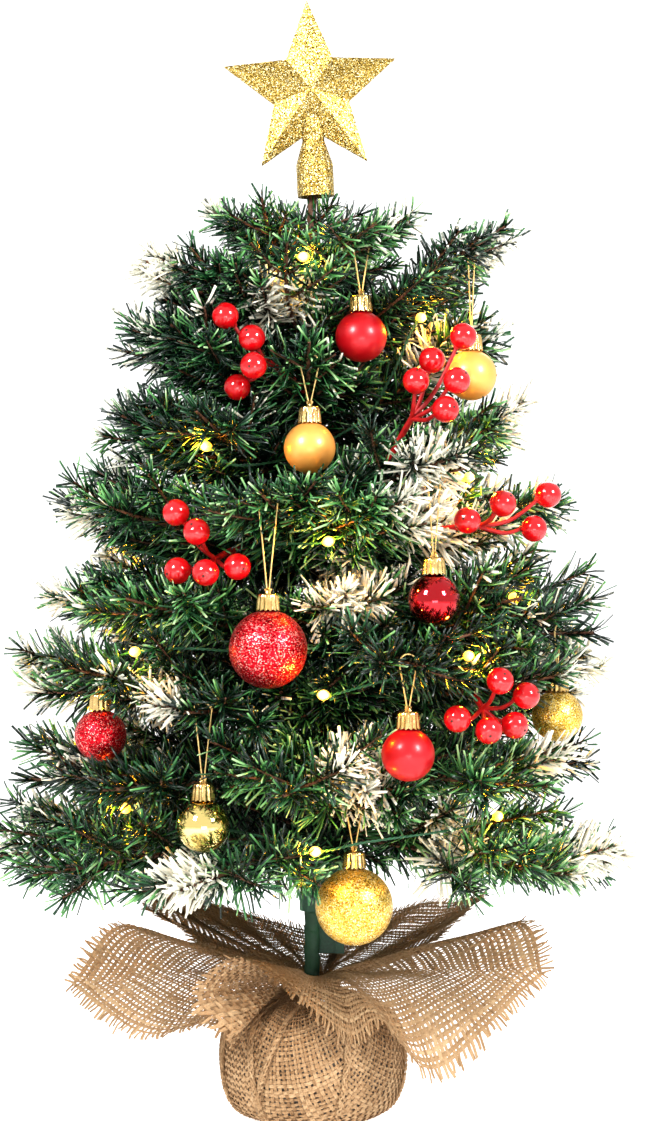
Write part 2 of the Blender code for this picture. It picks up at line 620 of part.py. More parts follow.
width, depth, height = SLIDER
slider_foot = case_top - SLIDER_DROP
slider_back = case_back - SLIDER_INSET
block("switch_slider", (case_left - GAP - width, slider_back - depth, slider_foot),
      (case_left - GAP, slider_back, slider_foot + height), SWITCH_BLACK)

cell_x = case_left + CASE_WALL + CELL_ROOM / 2 + CELL_RADIUS
cell_y = (CASE_FRONT + case_back) / 2
plate_low = CASE_FOOT + CASE_WALL + GAP
cell_low = plate_low + PLATE + SPRING_LENGTH + GAP
cell_shift = CELL_RADIUS + CELL_ROOM
for number, side in ((1, -1), (2, 1)):
    nub_top = cell_low + CELL_LENGTH + CELL_NUB
    shoulder = cell_low + CELL_LENGTH
    cell = turned(f"battery_cell_{number}",
                  ((0, nub_top), (CELL_NUB_RADIUS, nub_top), (CELL_NUB_RADIUS, shoulder),
                   (CELL_RADIUS, shoulder), (CELL_RADIUS, cell_low), (0, cell_low)),
                  CELL_JACKET, sides=16)
    cell.location = (cell_x, cell_y + side * cell_shift, 0)
    smooth(cell)

plate_half = (CELL_RADIUS * 0.7, cell_shift + CELL_RADIUS * 0.7)


def contact_plate(name, low):
    return block(name, (cell_x - plate_half[0], cell_y - plate_half[1], low),
                 (cell_x + plate_half[0], cell_y + plate_half[1], low + PLATE), CONTACT_STEEL)


spring_plate = contact_plate("spring_contact", plate_low)
springs = bmesh.new()
for side in (-1, 1):
    foot = Vector((cell_x, cell_y + side * cell_shift, plate_low + PLATE / 2))
    add_cone(springs, foot, foot + Vector((0, 0, SPRING_LENGTH + PLATE / 2)), SPRING_FOOT_RADIUS,
             SPRING_TIP_RADIUS, 12)
join(spring_plate, helper("contact_springs", springs))
contact_plate("flat_contact", case_top - CASE_WALL - GAP - PLATE)


# --- Light string --------------------------------------------------------------------------


def smooth_route(stops):
    """Points on a smooth curve round the tree through the stops, with a mark on each lamp."""
    keys = [Vector((s.azimuth, s.radius, s.z)) for s in stops]
    keys = [2 * keys[0] - keys[1], *keys, 2 * keys[-1] - keys[-2]]
    lamp_end = degrees(LAMP_LENGTH / 2)
    line = []
    for i, stop in enumerate(stops):
        a, b, c, d = keys[i], keys[i + 1], keys[i + 2], keys[min(i + 3, len(keys) - 1)]
        if stop.lamp:
            half = lamp_end / stop.radius
            for part, swell in ((-1, 0), (-0.6, 1), (0.6, 1), (1, 0)):
                line.append((b + Vector((part * half, 0, 0)), swell))
        else:
            line.append((b, 0))
        if i == len(stops) - 1:
            break
        length = hypot((c.x - b.x) * pi / 180 * (b.y + c.y) / 2, c.y - b.y, c.z - b.z)
        extra = int(length / ROUTE_STEP)
        for k in range(1, extra):
            t = k / extra
            swept = b + t / 2 * (c - a + t * (2 * a - 5 * b + 4 * c - d + t * (3 * (b - c) + d - a)))
            line.append((swept, 0))
    return line


def round_tree(key):
    turn = radians(key.x)
    return Vector((key.y * cos(turn), key.y * sin(turn), key.z))


wire_exit = Vector((cell_x, case_back + GAP, case_top - WIRE_DROP))
route = [(wire_exit, 0), (wire_exit + Vector((0, WIRE_LEAD, 0)), 0)]
route += [(round_tree(key), swell) for key, swell in smooth_route(LIGHT_ROUTE)]
tube("light_string", [point for point, _ in route], WIRE, LIGHT_WIRE,
     radii=[1 + swell * (LAMP / WIRE - 1) for _, swell in route])


# --- Star topper ---------------------------------------------------------------------------

topper = bpy.data.objects.new("topper_slide", None)
topper.location = (SOCKET_X, 0, SOCKET_Z)
topper.rotation_euler = (0, radians(-STAR_LEAN), 0)
parts.objects.link(topper)


def star_shape(front, size, plane):
    """Half of a ridged star as a closed solid: front is -1 or 1, plane is where its flat side is."""
    shape = bmesh.new()
    outline = []
    for k in range(10):
        reach = (STAR_NOTCH if k % 2 else STAR_POINT) * size
        turn = pi / 2 + pi * k / 5
        outline.append((reach * cos(turn), reach * sin(turn) + STAR_HEIGHT))
    edge = [shape.verts.new((x, front * STAR_EDGE * size, z)) for x, z in outline]
    flat = [shape.verts.new((x, front * plane, z)) for x, z in outline]
    peak = shape.verts.new((0, front * STAR_DEPTH * size, STAR_HEIGHT))
    shape.faces.new(flat)
    for k in range(10):
        after = (k + 1) % 10
        shape.faces.new((edge[k], edge[after], peak))
        shape.faces.new((flat[k], flat[after], edge[after], edge[k]))
    bmesh.ops.recalc_face_normals(shape, faces=shape.faces)
    return shape


def star_shell(name, front):
    mesh = bpy.data.meshes.new(name)
    shape = star_shape(front, 1, GAP / 2)
    shape.to_mesh(mesh)
    shape.free()
    shell = place(name, mesh, GOLD_GLITTER, parent=topper)
    hollow = helper(name + "_hollow", star_shape(front, STAR_HOLLOW, -RIM_OVERLAP))
    hollow.parent = topper
    join(shell, hollow, "DIFFERENCE")
    return shell


front_shell = star_shell("star_front_shell", -1)
back_shell = star_shell("star_back_shell", 1)

neck_low = SOCKET_STRAIGHT + SOCKET_SHOULDER
neck_high = STAR_HEIGHT - STAR_NOTCH + 0.008


def socket_profile(grow, foot):
    return ((0, neck_high + grow), (SOCKET_NECK + grow, neck_high + grow), (SOCKET_NECK + grow, neck_low),
            (SOCKET_RADIUS + grow, SOCKET_STRAIGHT), (SOCKET_RADIUS + grow, foot), (0, foot))


bored = ((0, SOCKET_DEPTH), (SOCKET_NECK * 0.6, SOCKET_DEPTH), (SOCKET_BORE, SOCKET_STRAIGHT - 0.001),
         (SOCKET_BORE, -RIM_OVERLAP), (0, -RIM_OVERLAP))
socket_tool = turned("socket_body", socket_profile(0, 0), None, sides=20, home=cutters, parent=topper)
socket_bore = turned("socket_bore", bored, None, sides=20, home=cutters, parent=topper)
socket_room = turned("socket_room", socket_profile(GAP, -GAP), None, sides=20, home=cutters, parent=topper)
join(back_shell, socket_tool)
join(back_shell, socket_bore, "DIFFERENCE")
join(front_shell, socket_room, "DIFFERENCE")
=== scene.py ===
"""An artificial tabletop tree: the finished surfaces of every piece, built round its fixed frame."""

import json
from math import atan2, cos, hypot, pi, radians, sin

import bmesh
import bpy
import numpy as np
from mathutils import Matrix, Vector


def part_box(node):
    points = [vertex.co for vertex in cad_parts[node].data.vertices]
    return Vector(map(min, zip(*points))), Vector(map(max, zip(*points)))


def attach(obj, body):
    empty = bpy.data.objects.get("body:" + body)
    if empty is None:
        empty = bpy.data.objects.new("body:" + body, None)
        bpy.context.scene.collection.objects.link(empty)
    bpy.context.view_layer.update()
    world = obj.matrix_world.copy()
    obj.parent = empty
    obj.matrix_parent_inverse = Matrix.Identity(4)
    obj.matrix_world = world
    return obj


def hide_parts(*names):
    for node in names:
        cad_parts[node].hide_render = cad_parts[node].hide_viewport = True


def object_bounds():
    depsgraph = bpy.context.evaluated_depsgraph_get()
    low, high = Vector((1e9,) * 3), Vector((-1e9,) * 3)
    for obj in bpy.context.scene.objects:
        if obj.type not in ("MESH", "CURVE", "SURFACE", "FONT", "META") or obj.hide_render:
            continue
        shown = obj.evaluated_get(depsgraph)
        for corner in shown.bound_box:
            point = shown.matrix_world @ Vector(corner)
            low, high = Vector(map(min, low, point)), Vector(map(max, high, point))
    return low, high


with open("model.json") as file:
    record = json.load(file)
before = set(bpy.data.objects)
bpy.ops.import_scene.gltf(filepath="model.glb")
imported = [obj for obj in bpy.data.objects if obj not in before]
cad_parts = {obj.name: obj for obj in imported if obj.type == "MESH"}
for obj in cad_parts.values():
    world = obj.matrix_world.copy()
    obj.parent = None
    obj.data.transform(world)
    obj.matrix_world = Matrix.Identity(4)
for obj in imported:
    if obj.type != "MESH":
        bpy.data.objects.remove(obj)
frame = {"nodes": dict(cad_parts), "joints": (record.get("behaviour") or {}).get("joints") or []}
frame_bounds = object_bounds()
joints = {joint["name"]: joint for joint in frame["joints"]}
bauble_names = [f"bauble_{number}" for number in range(1, 11)]


# --- Studio --------------------------------------------------------------------------------
# The tree stands on a plain white sweep between softboxes high at its left and right, with a weak
# one low in front and a wide one behind. The camera looks level at its middle.

PICTURE_HEIGHT = 0.6127
CAMERA_DISTANCE = 1.6
CAMERA_X = 0.0057
CAMERA_HEIGHT = 0.3042
SENSOR = 24.0
ROOM_BEHIND = 1.1  # how bright the white room is to the camera, in reflections, and as light
ROOM_REFLECTED = 0.85
ROOM_LIGHT = 0.30
FLOOR_GLOW = 0.72


def put(name, data):
    """An object in the scene."""
    made = bpy.data.objects.new(name, data)
    bpy.context.scene.collection.objects.link(made)
    return made


camera_data = bpy.data.cameras.new("camera")
camera_data.sensor_fit = "VERTICAL"
camera_data.sensor_height = SENSOR
camera_data.lens = SENSOR * CAMERA_DISTANCE / PICTURE_HEIGHT
camera = put("camera", camera_data)
camera.location = (CAMERA_X, -CAMERA_DISTANCE, CAMERA_HEIGHT)
camera.rotation_euler = (pi / 2, 0, 0)
bpy.context.scene.camera = camera
bpy.context.scene.view_settings.view_transform = "Standard"
bpy.context.scene.view_settings.look = "Medium High Contrast"


def softbox(name, place, aim, width, height, power):
    """A rectangular area light that faces a point."""
    light = bpy.data.lights.new(name, "AREA")
    light.shape = "RECTANGLE"
    light.size, light.size_y = width, height
    light.energy = power
    lamp = put(name, light)
    lamp.location = place
    lamp.rotation_euler = (Vector(aim) - Vector(place)).to_track_quat("-Z", "Y").to_euler()


softbox("softbox_left", (-0.95, -1.15, 1.15), (0, 0, 0.3), 0.38, 0.52, 27)
softbox("softbox_right", (1.05, -1.05, 1.0), (0, 0, 0.3), 0.34, 0.46, 22)
softbox("softbox_low", (0.1, -1.55, 0.10), (0, 0, 0.1), 0.6, 0.25, 3)
softbox("softbox_back", (0.2, 1.3, 1.3), (0, 0, 0.3), 1.2, 0.8, 8)

world = bpy.data.worlds.new("white_room")
bpy.context.scene.world = world
world.use_nodes = True
room = world.node_tree
background = room.nodes["Background"]
background.inputs["Color"].default_value = (1, 1, 1, 1)
light_path = room.nodes.new("ShaderNodeLightPath")
seen_level = room.nodes.new("ShaderNodeMapRange")
seen_level.inputs["To Min"].default_value = ROOM_LIGHT
seen_level.inputs["To Max"].default_value = ROOM_REFLECTED
room.links.new(light_path.outputs["Is Glossy Ray"], seen_level.inputs["Value"])
room_level = room.nodes.new("ShaderNodeMapRange")
room_level.inputs["To Max"].default_value = ROOM_BEHIND
room.links.new(light_path.outputs["Is Camera Ray"], room_level.inputs["Value"])
room.links.new(seen_level.outputs["Result"], room_level.inputs["To Min"])
room.links.new(room_level.outputs["Result"], background.inputs["Strength"])

floor_mesh = bpy.data.meshes.new("floor")
floor_mesh.from_pydata([(-4, -4, 0), (4, -4, 0), (4, 6, 0), (-4, 6, 0)], [], [(0, 1, 2, 3)])
floor = put("floor", floor_mesh)
floor_paint = bpy.data.materials.new("white_sweep")
floor_paint.use_nodes = True
floor_shader = floor_paint.node_tree.nodes["Principled BSDF"]
floor_shader.inputs["Base Color"].default_value = (0.82, 0.82, 0.81, 1)
floor_shader.inputs["Roughness"].default_value = 0.9
floor_shader.inputs["Emission Color"].default_value = (1, 1, 1, 1)
floor_shader.inputs["Emission Strength"].default_value = FLOOR_GLOW
floor_mesh.materials.append(floor_paint)


# --- Bauble strings ------------------------------------------------------------------------
# Each bauble hangs on a loop of thin metallic thread, two plies twisted together, which passes
# through the staple of its cap and over a branch.

STRING_DIAMETER = 0.0010
STRING_STEP = 0.0010
STRING_TWIST = 0.0024
STRING_CORE = 0.86  # the mean radius of the two plies, as a share of the string's


class Socket:
    """An output of a node. Arithmetic on it adds Math nodes."""

    def __init__(self, finish, socket):
        self.finish, self.socket = finish, socket

    def maths(self, operation, *values):
        return self.finish.node("ShaderNodeMath", {"operation": operation}, dict(enumerate(values)))

    def __add__(self, other):
        return self.maths("ADD", self, other)

    def __sub__(self, other):
        return self.maths("SUBTRACT", self, other)

    def __rsub__(self, other):
        return self.maths("SUBTRACT", other, self)

    def __mul__(self, other):
        return self.maths("MULTIPLY", self, other)

    __radd__, __rmul__ = __add__, __mul__

    def clamp(self):
        return self.maths("MINIMUM", self.maths("MAXIMUM", self, 0.0), 1.0)

    def step(self, low, high):
        """0 below low, 1 above high, and smooth between."""
        return self.finish.node("ShaderNodeMapRange", {"interpolation_type": "SMOOTHSTEP"},
                                {"Value": self, "From Min": low, "From Max": high})


class Finish:
    """A material with one Principled shader, whose inputs are numbers, colours or sockets."""

    def __init__(self, name):
        self.material = bpy.data.materials.new(name)
        self.material.use_nodes = True
        self.tree = self.material.node_tree
        self.shader = self.tree.nodes["Principled BSDF"]

    def node(self, kind, settings=None, inputs=None, output=0):
        made = self.tree.nodes.new(kind)
        for key, value in (settings or {}).items():
            if key == "stops":
                while len(made.color_ramp.elements) < len(value):
                    made.color_ramp.elements.new(0.5)
                for element, (place, colour) in zip(made.color_ramp.elements, value):
                    element.position, element.color = place, (*colour, 1)
            else:
                setattr(made, key, value)
        for key, value in (inputs or {}).items():
            self.feed(made.inputs[key], value)
        return Socket(self, made.outputs[output])

    def feed(self, socket, value):
        if isinstance(value, Socket):
            self.tree.links.new(value.socket, socket)
        elif isinstance(value, tuple) and len(value) == 3 and socket.type == "RGBA":
            socket.default_value = (*value, 1)
        else:
            socket.default_value = value

    def place(self):
        """Where on the piece, in metres."""
        return self.node("ShaderNodeTexCoord", output="Object")

    def grain(self, size, detail):
        """Noise from 0 to 1 whose lumps are about this many metres across."""
        return self.node("ShaderNodeTexNoise", {}, {
            "Vector": self.place(), "Scale": 0.5 / size, "Detail": detail})

    def stored(self, name):
        """A number that the mesh carries at each of its points."""
        return self.node("ShaderNodeAttribute", {"attribute_name": name}, output="Fac")

    def mix(self, amount, one, other):
        """A colour between two."""
        return self.node("ShaderNodeMix", {"data_type": "RGBA"}, {0: amount, 6: one, 7: other}, output=2)

    def ramp(self, amount, *stops):
        return self.node("ShaderNodeValToRGB", {"stops": stops}, {"Fac": amount})

    def bump(self, height, depth):
        """A bent normal from a height from 0 to 1, this many metres deep."""
        return self.node("ShaderNodeBump", {}, {"Height": height, "Distance": depth, "Strength": 1.0})

    def surface(self, **inputs):
        """Sets the shader's inputs, with _ for each space in their names, and gives the material."""
        for key, value in inputs.items():
            self.feed(self.shader.inputs[key.replace("_", " ")], value)
        return self.material


def unit(vectors):
    length = np.linalg.norm(vectors, axis=-1, keepdims=True)
    return vectors / np.maximum(length, 1e-12)


def piece(name, points, faces, material, body, smooth=False, **stored):
    """A mesh from an array of points and a list of arrays of faces, which rides on a body."""
    mesh = bpy.data.meshes.new(name)
    faces = [np.asarray(group, np.int32) for group in faces if len(group)]
    corners = np.concatenate([group.ravel() for group in faces])
    sizes = np.concatenate([np.full(len(group), group.shape[1], np.int32) for group in faces])
    mesh.vertices.add(len(points))
    mesh.vertices.foreach_set("co", np.asarray(points, np.float32).ravel())
    mesh.loops.add(len(corners))
    mesh.loops.foreach_set("vertex_index", corners)
    mesh.polygons.add(len(sizes))
    mesh.polygons.foreach_set("loop_start", np.concatenate([[0], np.cumsum(sizes)[:-1]]).astype(np.int32))
    mesh.update(calc_edges=True)
    mesh.validate()
    for label, values in stored.items():
        layer = mesh.attributes.new(label, "FLOAT", "POINT")
        layer.data.foreach_set("value", np.asarray(values, np.float32).ravel())
    mesh.materials.append(material)
    if smooth:
        mesh.shade_smooth()
        if smooth is not True:
            mesh.set_sharp_from_angle(angle=radians(smooth))
    made = put(name, mesh)
    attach(made, body)
    return made


class Strands:
    """Closed tubes gathered into one mesh."""

    def __init__(self):
        self.points, self.quads, self.ends, self.count = [], [], {}, 0

    def add(self, path, radius, sides, lobes=0, pitch=1.0, depth=0.0, ring=False):
        """A tube along a path. With lobes it is a twisted strand, which turns once in each pitch."""
        path = np.asarray(path, float)
        count = len(path)
        radius = np.broadcast_to(np.asarray(radius, float), (count,))
        ends = np.roll(path, -1, 0) - np.roll(path, 1, 0) if ring else np.gradient(path, axis=0)
        along = unit(ends)
        across = np.empty_like(path)
        start = np.cross(along[0], (0, 0, 1.0))
        if np.linalg.norm(start) < 0.1:
            start = np.cross(along[0], (0, 1.0, 0))
        across[0] = start / np.linalg.norm(start)
        for i in range(1, count):
            carried = across[i - 1] - along[i] * (across[i - 1] @ along[i])
            across[i] = carried / np.linalg.norm(carried)
        other = np.cross(along, across)
        gone = np.concatenate([[0], np.cumsum(np.linalg.norm(np.diff(path, axis=0), axis=1))])
        turn = 2 * pi * np.arange(sides) / sides
        shape = np.ones((count, sides))
        if lobes:
            shape = 1 + depth * np.cos(lobes * (turn[None] - 2 * pi * gone[:, None] / (pitch * lobes)))
        reach = (radius[:, None] * shape)[..., None]
        points = path[:, None] + reach * (np.cos(turn)[None, :, None] * across[:, None]
                                          + np.sin(turn)[None, :, None] * other[:, None])
        first = self.count + np.arange(count - (not ring))[:, None] * sides
        second = self.count + (np.arange(count - (not ring))[:, None] + 1) % count * sides
        here, after = np.arange(sides)[None], (np.arange(sides)[None] + 1) % sides
        quads = np.stack([first + here, first + after, second + after, second + here], -1).reshape(-1, 4)
        self.quads.append(quads)
        if not ring:
            self.ends.setdefault(sides, []).append(self.count + np.arange(sides)[::-1])
            self.ends[sides].append(self.count + (count - 1) * sides + np.arange(sides))
        self.points.append(points.reshape(-1, 3))
        self.count += count * sides

    def piece(self, name, material, body, smooth=50):
        faces = [np.concatenate(self.quads)] + [np.array(group) for group in self.ends.values()]
        return piece(name, np.concatenate(self.points), faces, material, body, smooth)


def smooth_line(points, count):
    """This many points on a smooth curve through the ones given."""
    points = np.asarray(points, float)
    padded = np.concatenate([[2 * points[0] - points[1]], points, [2 * points[-1] - points[-2]]])
    places = np.linspace(0, len(points) - 1, count)
    first = np.minimum(places.astype(int), len(points) - 2)
    t = (places - first)[:, None]
    a, b, c, d = (padded[first + k] for k in range(4))
    return b + t / 2 * (c - a + t * (2 * a - 5 * b + 4 * c - d + t * (3 * (b - c) + d - a)))


def mottled(name, size, detail, dark, light, rough, rougher, depth=0.0, metallic=0.0):
    """A finish that goes from dark to light over noise of one size, and roughens with it."""
    finish = Finish(name)
    noise = finish.grain(size, detail)
    more = {"Normal": finish.bump(noise, depth)} if depth else {}
    return finish.surface(Base_Color=finish.ramp(noise, dark, light), Metallic=metallic,
                          Roughness=rough + rougher * noise, **more)


gold_cord = mottled("gold_cord", 0.0002, 3, (0.3, (0.42, 0.25, 0.06)), (0.7, (0.95, 0.74, 0.36)),
                    0.3, 0.25, depth=0.0001, metallic=0.75)


def bauble_axes(name):
    """The point over which a bauble's string hangs, and the unit vectors outward and sideways."""
    joint = joints[name + "_swing"]
    side = np.array(joint["axis"])
    return np.array(joint["pos_m"]), np.cross((0, 0, 1.0), side), side


for name in bauble_names:
    hinge, _, sideways = bauble_axes(name)
    low, high = (np.array(corner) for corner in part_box(name + "_string"))
    half_width = (high[2] - hinge[2]) - STRING_DIAMETER / 2
    foot = low[2] + STRING_DIAMETER / 2
    over = [(half_width * cos(pi * k / 10), hinge[2] + half_width * sin(pi * k / 10)) for k in range(11)]
    left = [(-0.0005, foot), (-0.0016, foot + 0.0014)]
    right = [(-across, up) for across, up in left[::-1]]
    outline = [(across, up) for across, up in right + over + left]
    loop = [np.array((*(hinge[:2] + across * sideways[:2]), up)) for across, up in outline]
    length = sum(np.linalg.norm(b - a) for a, b in zip(loop, loop[1:]))
    loop = smooth_line(loop, int(length / STRING_STEP))
    length = np.linalg.norm(np.diff(loop, axis=0), axis=1).sum()
    strand = Strands()
    strand.add(loop, STRING_DIAMETER / 2 * STRING_CORE, sides=8, lobes=2, pitch=STRING_TWIST, depth=0.16)
    string = strand.piece(name + "_thread", gold_cord, name, smooth=True)
    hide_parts(name + "_string")
    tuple(loop[0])


# --- Balls ---------------------------------------------------------------------------------
# Blown plastic balls with a short open neck. They are lacquered satin, metallised to a mirror,
# or rolled in glue and glitter.

NECK_RADIUS = 0.0040
NECK_HEIGHT = 0.0072
BALL_WALL = 0.0012
FLAKE = 0.00036  # the glitter
NECK_BEVEL = 0.0004
CRUST = 0.0003  # points as near as this to the ball's radius carry the glitter


def turned(profile, sides, shape=None):
    """Points and faces of a profile of (radius, height) turned about Z, with ends on the axis."""
    profile = np.asarray(profile, float)
    turn = 2 * pi * np.arange(sides) / sides
    rings = profile[1:-1]
    reach = np.repeat(rings[:, :1], sides, 1)
    height = np.repeat(rings[:, 1:], sides, 1)
    if shape:
        reach, height = shape(reach, height, turn[None])
    points = np.stack([reach * np.cos(turn), reach * np.sin(turn), height], -1).reshape(-1, 3)
    points = np.concatenate([points, [(0, 0, profile[0, 1]), (0, 0, profile[-1, 1])]])
    count = len(rings)
    here, after = np.arange(sides), (np.arange(sides) + 1) % sides
    row = np.arange(count - 1)[:, None] * sides
    quads = np.stack([row + here, row + sides + here, row + sides + after, row + after], -1).reshape(-1, 4)
    start, end = count * sides, count * sides + 1
    last = (count - 1) * sides
    first_fan = np.stack([np.full(sides, start), here, after], -1)
    last_fan = np.stack([np.full(sides, end), last + after, last + here], -1)
    return points, [quads, np.concatenate([first_fan, last_fan])]


def satin(name, colour, deep):
    finish = Finish(name)
    flow = finish.grain(0.006, 3)
    orange_peel = finish.grain(0.0007, 2)
    return finish.surface(
        Base_Color=finish.mix(flow, deep, colour), Metallic=0.30, Roughness=0.34 + 0.10 * flow,
        Coat_Weight=0.35, Coat_Roughness=0.20, Normal=finish.bump(orange_peel, 0.00003))


def mirror(name, colour, deep):
    finish = Finish(name)
    flow = finish.grain(0.010, 2)
    scuffs = finish.grain(0.0016, 6)
    return finish.surface(
        Base_Color=finish.mix(flow, deep, colour), Metallic=1.0,
        Roughness=0.035 + 0.10 * scuffs.step(0.60, 0.82), Coat_Weight=0.8, Coat_Roughness=0.03,
        Normal=finish.bump(flow, 0.00012))


def glitter(name, colour, deep, painted_glint):
    """Loose flakes that each catch the light in their own direction: the bump tilts each flake, and each
    flake's colour is painted at random from painted shade to a near-white painted glint.
    """
    finish = Finish(name)
    cells = finish.node("ShaderNodeTexVoronoi", {}, {"Vector": finish.place(), "Scale": 0.7 / FLAKE}, "Color")
    pick = finish.node("ShaderNodeSeparateColor", {}, {"Color": cells})
    tilt = finish.grain(FLAKE, 1)
    # Painted light: each flake is coloured at random dark (painted shade), the ball's own colour, or near
    # white (a painted glint).
    shade = finish.ramp(pick, (0.0, deep), (0.30, deep), (0.55, colour), (0.80, colour), (0.95, painted_glint))
    return finish.surface(
        Base_Color=shade, Metallic=0.85, Roughness=0.22 + 0.25 * pick,
        Normal=finish.bump(tilt * 0.5 + pick * 0.5, FLAKE * 0.45))


# For the glitter finishes the second colour is the painted shade of dark flakes and the third the painted
# glint of the brightest ones.
ball_paints = {name: lacquer(name, *colours) for name, lacquer, *colours in (
    ("red_satin", satin, (0.62, 0.004, 0.012), (0.42, 0.002, 0.008)),
    ("gold_satin", satin, (1.0, 0.49, 0.125), (1.0, 0.43, 0.09)),
    ("red_mirror", mirror, (0.66, 0.006, 0.016), (0.48, 0.003, 0.010)),
    ("gold_mirror", mirror, (1.0, 0.84, 0.34), (1.0, 0.74, 0.22)),
    ("red_glitter", glitter, (0.72, 0.006, 0.022), (0.30, 0.001, 0.006), (1.0, 0.50, 0.46)),
    ("gold_glitter", glitter, (0.88, 0.60, 0.12), (0.48, 0.26, 0.03), (1.0, 0.95, 0.60)))}
painted = dict(zip(bauble_names, (
    "red_satin", "gold_satin", "gold_satin", "red_mirror", "red_glitter", "red_glitter", "gold_mirror",
    "gold_glitter", "red_satin", "gold_glitter")))
ball_centre, ball_radius = {}, {}
rng = np.random.default_rng(11)

for name in bauble_names:
    low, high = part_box(name + "_ball")
    radius = (high.z - low.z - NECK_HEIGHT) / 2
    hinge, _, _ = bauble_axes(name)
    middle = low.z + radius
    ball_centre[name], ball_radius[name] = np.array((hinge[0], hinge[1], middle)), radius
    rough = "glitter" in painted[name]
    rows = 110 if rough else 64
    first = np.arcsin(NECK_RADIUS / radius)
    turns = first + (pi - first) * np.arange(rows) / rows
    outside = [(radius * sin(a), radius * cos(a)) for a in turns]
    hollow = radius - BALL_WALL
    inside = [(hollow * sin(a), hollow * cos(a)) for a in turns[::8]]
    neck_top = radius + NECK_HEIGHT
    profile = [(0, -hollow), *inside[::-1], (NECK_RADIUS - BALL_WALL, neck_top - NECK_BEVEL),
               (NECK_RADIUS - BALL_WALL + 0.0003, neck_top), (NECK_RADIUS - 0.0003, neck_top),
               (NECK_RADIUS, neck_top - NECK_BEVEL), *outside, (0, -radius)]
    points, faces = turned(profile, 2 * rows)
    if rough:
        reach = np.linalg.norm(points, axis=1)
        crust = (reach > radius - CRUST) & (points[:, 2] < radius * 0.93)
        points[crust] *= (1 + rng.uniform(-0.00010, 0.00005, crust.sum()) / radius)[:, None]
    points = points + ball_centre[name]
    ball = piece(name + "_shell", points, faces, ball_paints[painted[name]], name, smooth=not rough)
    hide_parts(name + "_ball")


# --- Caps ----------------------------------------------------------------------------------
# A crown of thin gold foil, fluted round its skirt and scalloped at the edge, grips the neck, and
# a sprung wire staple stands through its top.

FLUTES = 14
CAP_RADIUS = 0.0058
STAPLE_ARCH = 0.0028
STAPLE_WIRE = 0.0006
FOIL = 0.00035

finish = Finish("gold_foil")
dents = finish.grain(0.0018, 3)
tarnish = finish.grain(0.004, 4)
gold_foil = finish.surface(
    Base_Color=finish.ramp(tarnish, (0.25, (0.66, 0.40, 0.12)), (0.7, (0.95, 0.72, 0.34))),
    Metallic=1.0, Roughness=0.14 + 0.16 * tarnish, Normal=finish.bump(dents, 0.00025))


def flutes(reach, height, turn):
    """Deeper flutes towards the skirt's edge, which rises and falls with them."""
    low, high = height.min(), height.max()
    share = ((high - height) / (high - low)) ** 0.7
    wave = np.cos(FLUTES * turn)
    outer = reach > CAP_RADIUS * 0.72
    fluted = reach * (1 + 0.060 * np.minimum(share * 2, 1) * wave * outer)
    return fluted, height - 0.0004 * share * wave * outer


for name in bauble_names:
    low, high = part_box(name + "_cap")
    hinge, outward, _ = bauble_axes(name)
    centre = np.array((hinge[0], hinge[1], 0))
    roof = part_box(name + "_ball")[1].z + 0.0009
    skirt = low.z + 0.0003
    tall = roof - skirt
    outer = [(0, roof), (0.0016, roof), (0.0019, roof + 0.0003), (0.0040, roof + 0.0003), (0.0045, roof),
             (CAP_RADIUS - 0.0010, roof), (CAP_RADIUS - 0.0006, roof - 0.0005)]
    outer += [(CAP_RADIUS - 0.0005 + 0.0006 * (k / 8) ** 1.6, roof - 0.0005 - (tall - 0.0005) * k / 8)
              for k in range(1, 9)]
    inner = [(r - FOIL, max(z - FOIL, skirt)) for r, z in outer[7:]][::-1]
    inner += [(CAP_RADIUS - 0.0012, roof - FOIL - 0.0004), (0, roof - FOIL)]
    points, faces = turned(outer + inner, FLUTES * 6, flutes)
    cap = piece(name + "_crown", points + centre, faces, gold_foil, name, smooth=40)
    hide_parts(name + "_cap")
    arch = [(STAPLE_ARCH, -0.0009), (STAPLE_ARCH, 0)]
    arch += [(STAPLE_ARCH * cos(a), STAPLE_ARCH * sin(a)) for a in np.linspace(0.15, pi - 0.15, 15)]
    arch += [(-STAPLE_ARCH, 0), (-STAPLE_ARCH, -0.0009)]
    wire = Strands()
    wire.add([centre + outward * x + (0, 0, roof + z) for x, z in arch], STAPLE_WIRE, sides=10)
    staple = wire.piece(name + "_staple", gold_foil, name, smooth=True)


# --- Trunk ---------------------------------------------------------------------------------
# A steel tube spiralled over with dark green film, whose overlaps show as low ridges.

TRUNK_WRAP_PITCH = 0.011

finish = Finish("trunk_wrap")
creases = finish.grain(0.0012, 4)
patches = finish.grain(0.006, 3)
trunk_wrap = finish.surface(
    Base_Color=finish.ramp(patches, (0.25, (0.004, 0.030, 0.012)), (0.75, (0.016, 0.085, 0.034))),
    Roughness=0.42 + 0.25 * creases, Normal=finish.bump(creases, 0.0004))


def wrapped(reach, height, turn):
    """Spiral overlaps: each turn of the film rises over the last and ends in a small step."""
    lap = (height / TRUNK_WRAP_PITCH + turn / (2 * pi)) % 1
    return reach + 0.0007 * lap - 0.0003, height


low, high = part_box("trunk_pole")
trunk_radius = (high.x - low.x) / 2
rows = np.arange(low.z, high.z, 0.0011)
profile = [(0, low.z), *[(trunk_radius - 0.0004, z) for z in rows], (0, high.z)]
points, faces = turned(profile[::-1], 40, wrapped)
trunk = piece("trunk_wrapping", points, faces, trunk_wrap, "tree", smooth=40)
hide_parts("trunk_pole")


# --- Light string --------------------------------------------------------------------------
# Two thin green wires twisted together climb the tree from the battery box. Each lamp is a bare
# bead of clear resin over a warm diode, lit.

WIRE_TWIST = 0.006
WIRE_RADIUS = 0.00042
LAMP_RADIUS = 0.0027
LAMP_LENGTH = 0.0070
LAMP_POWER = 0.085
LAMP_COLOUR = (1.0, 0.45, 0.02)

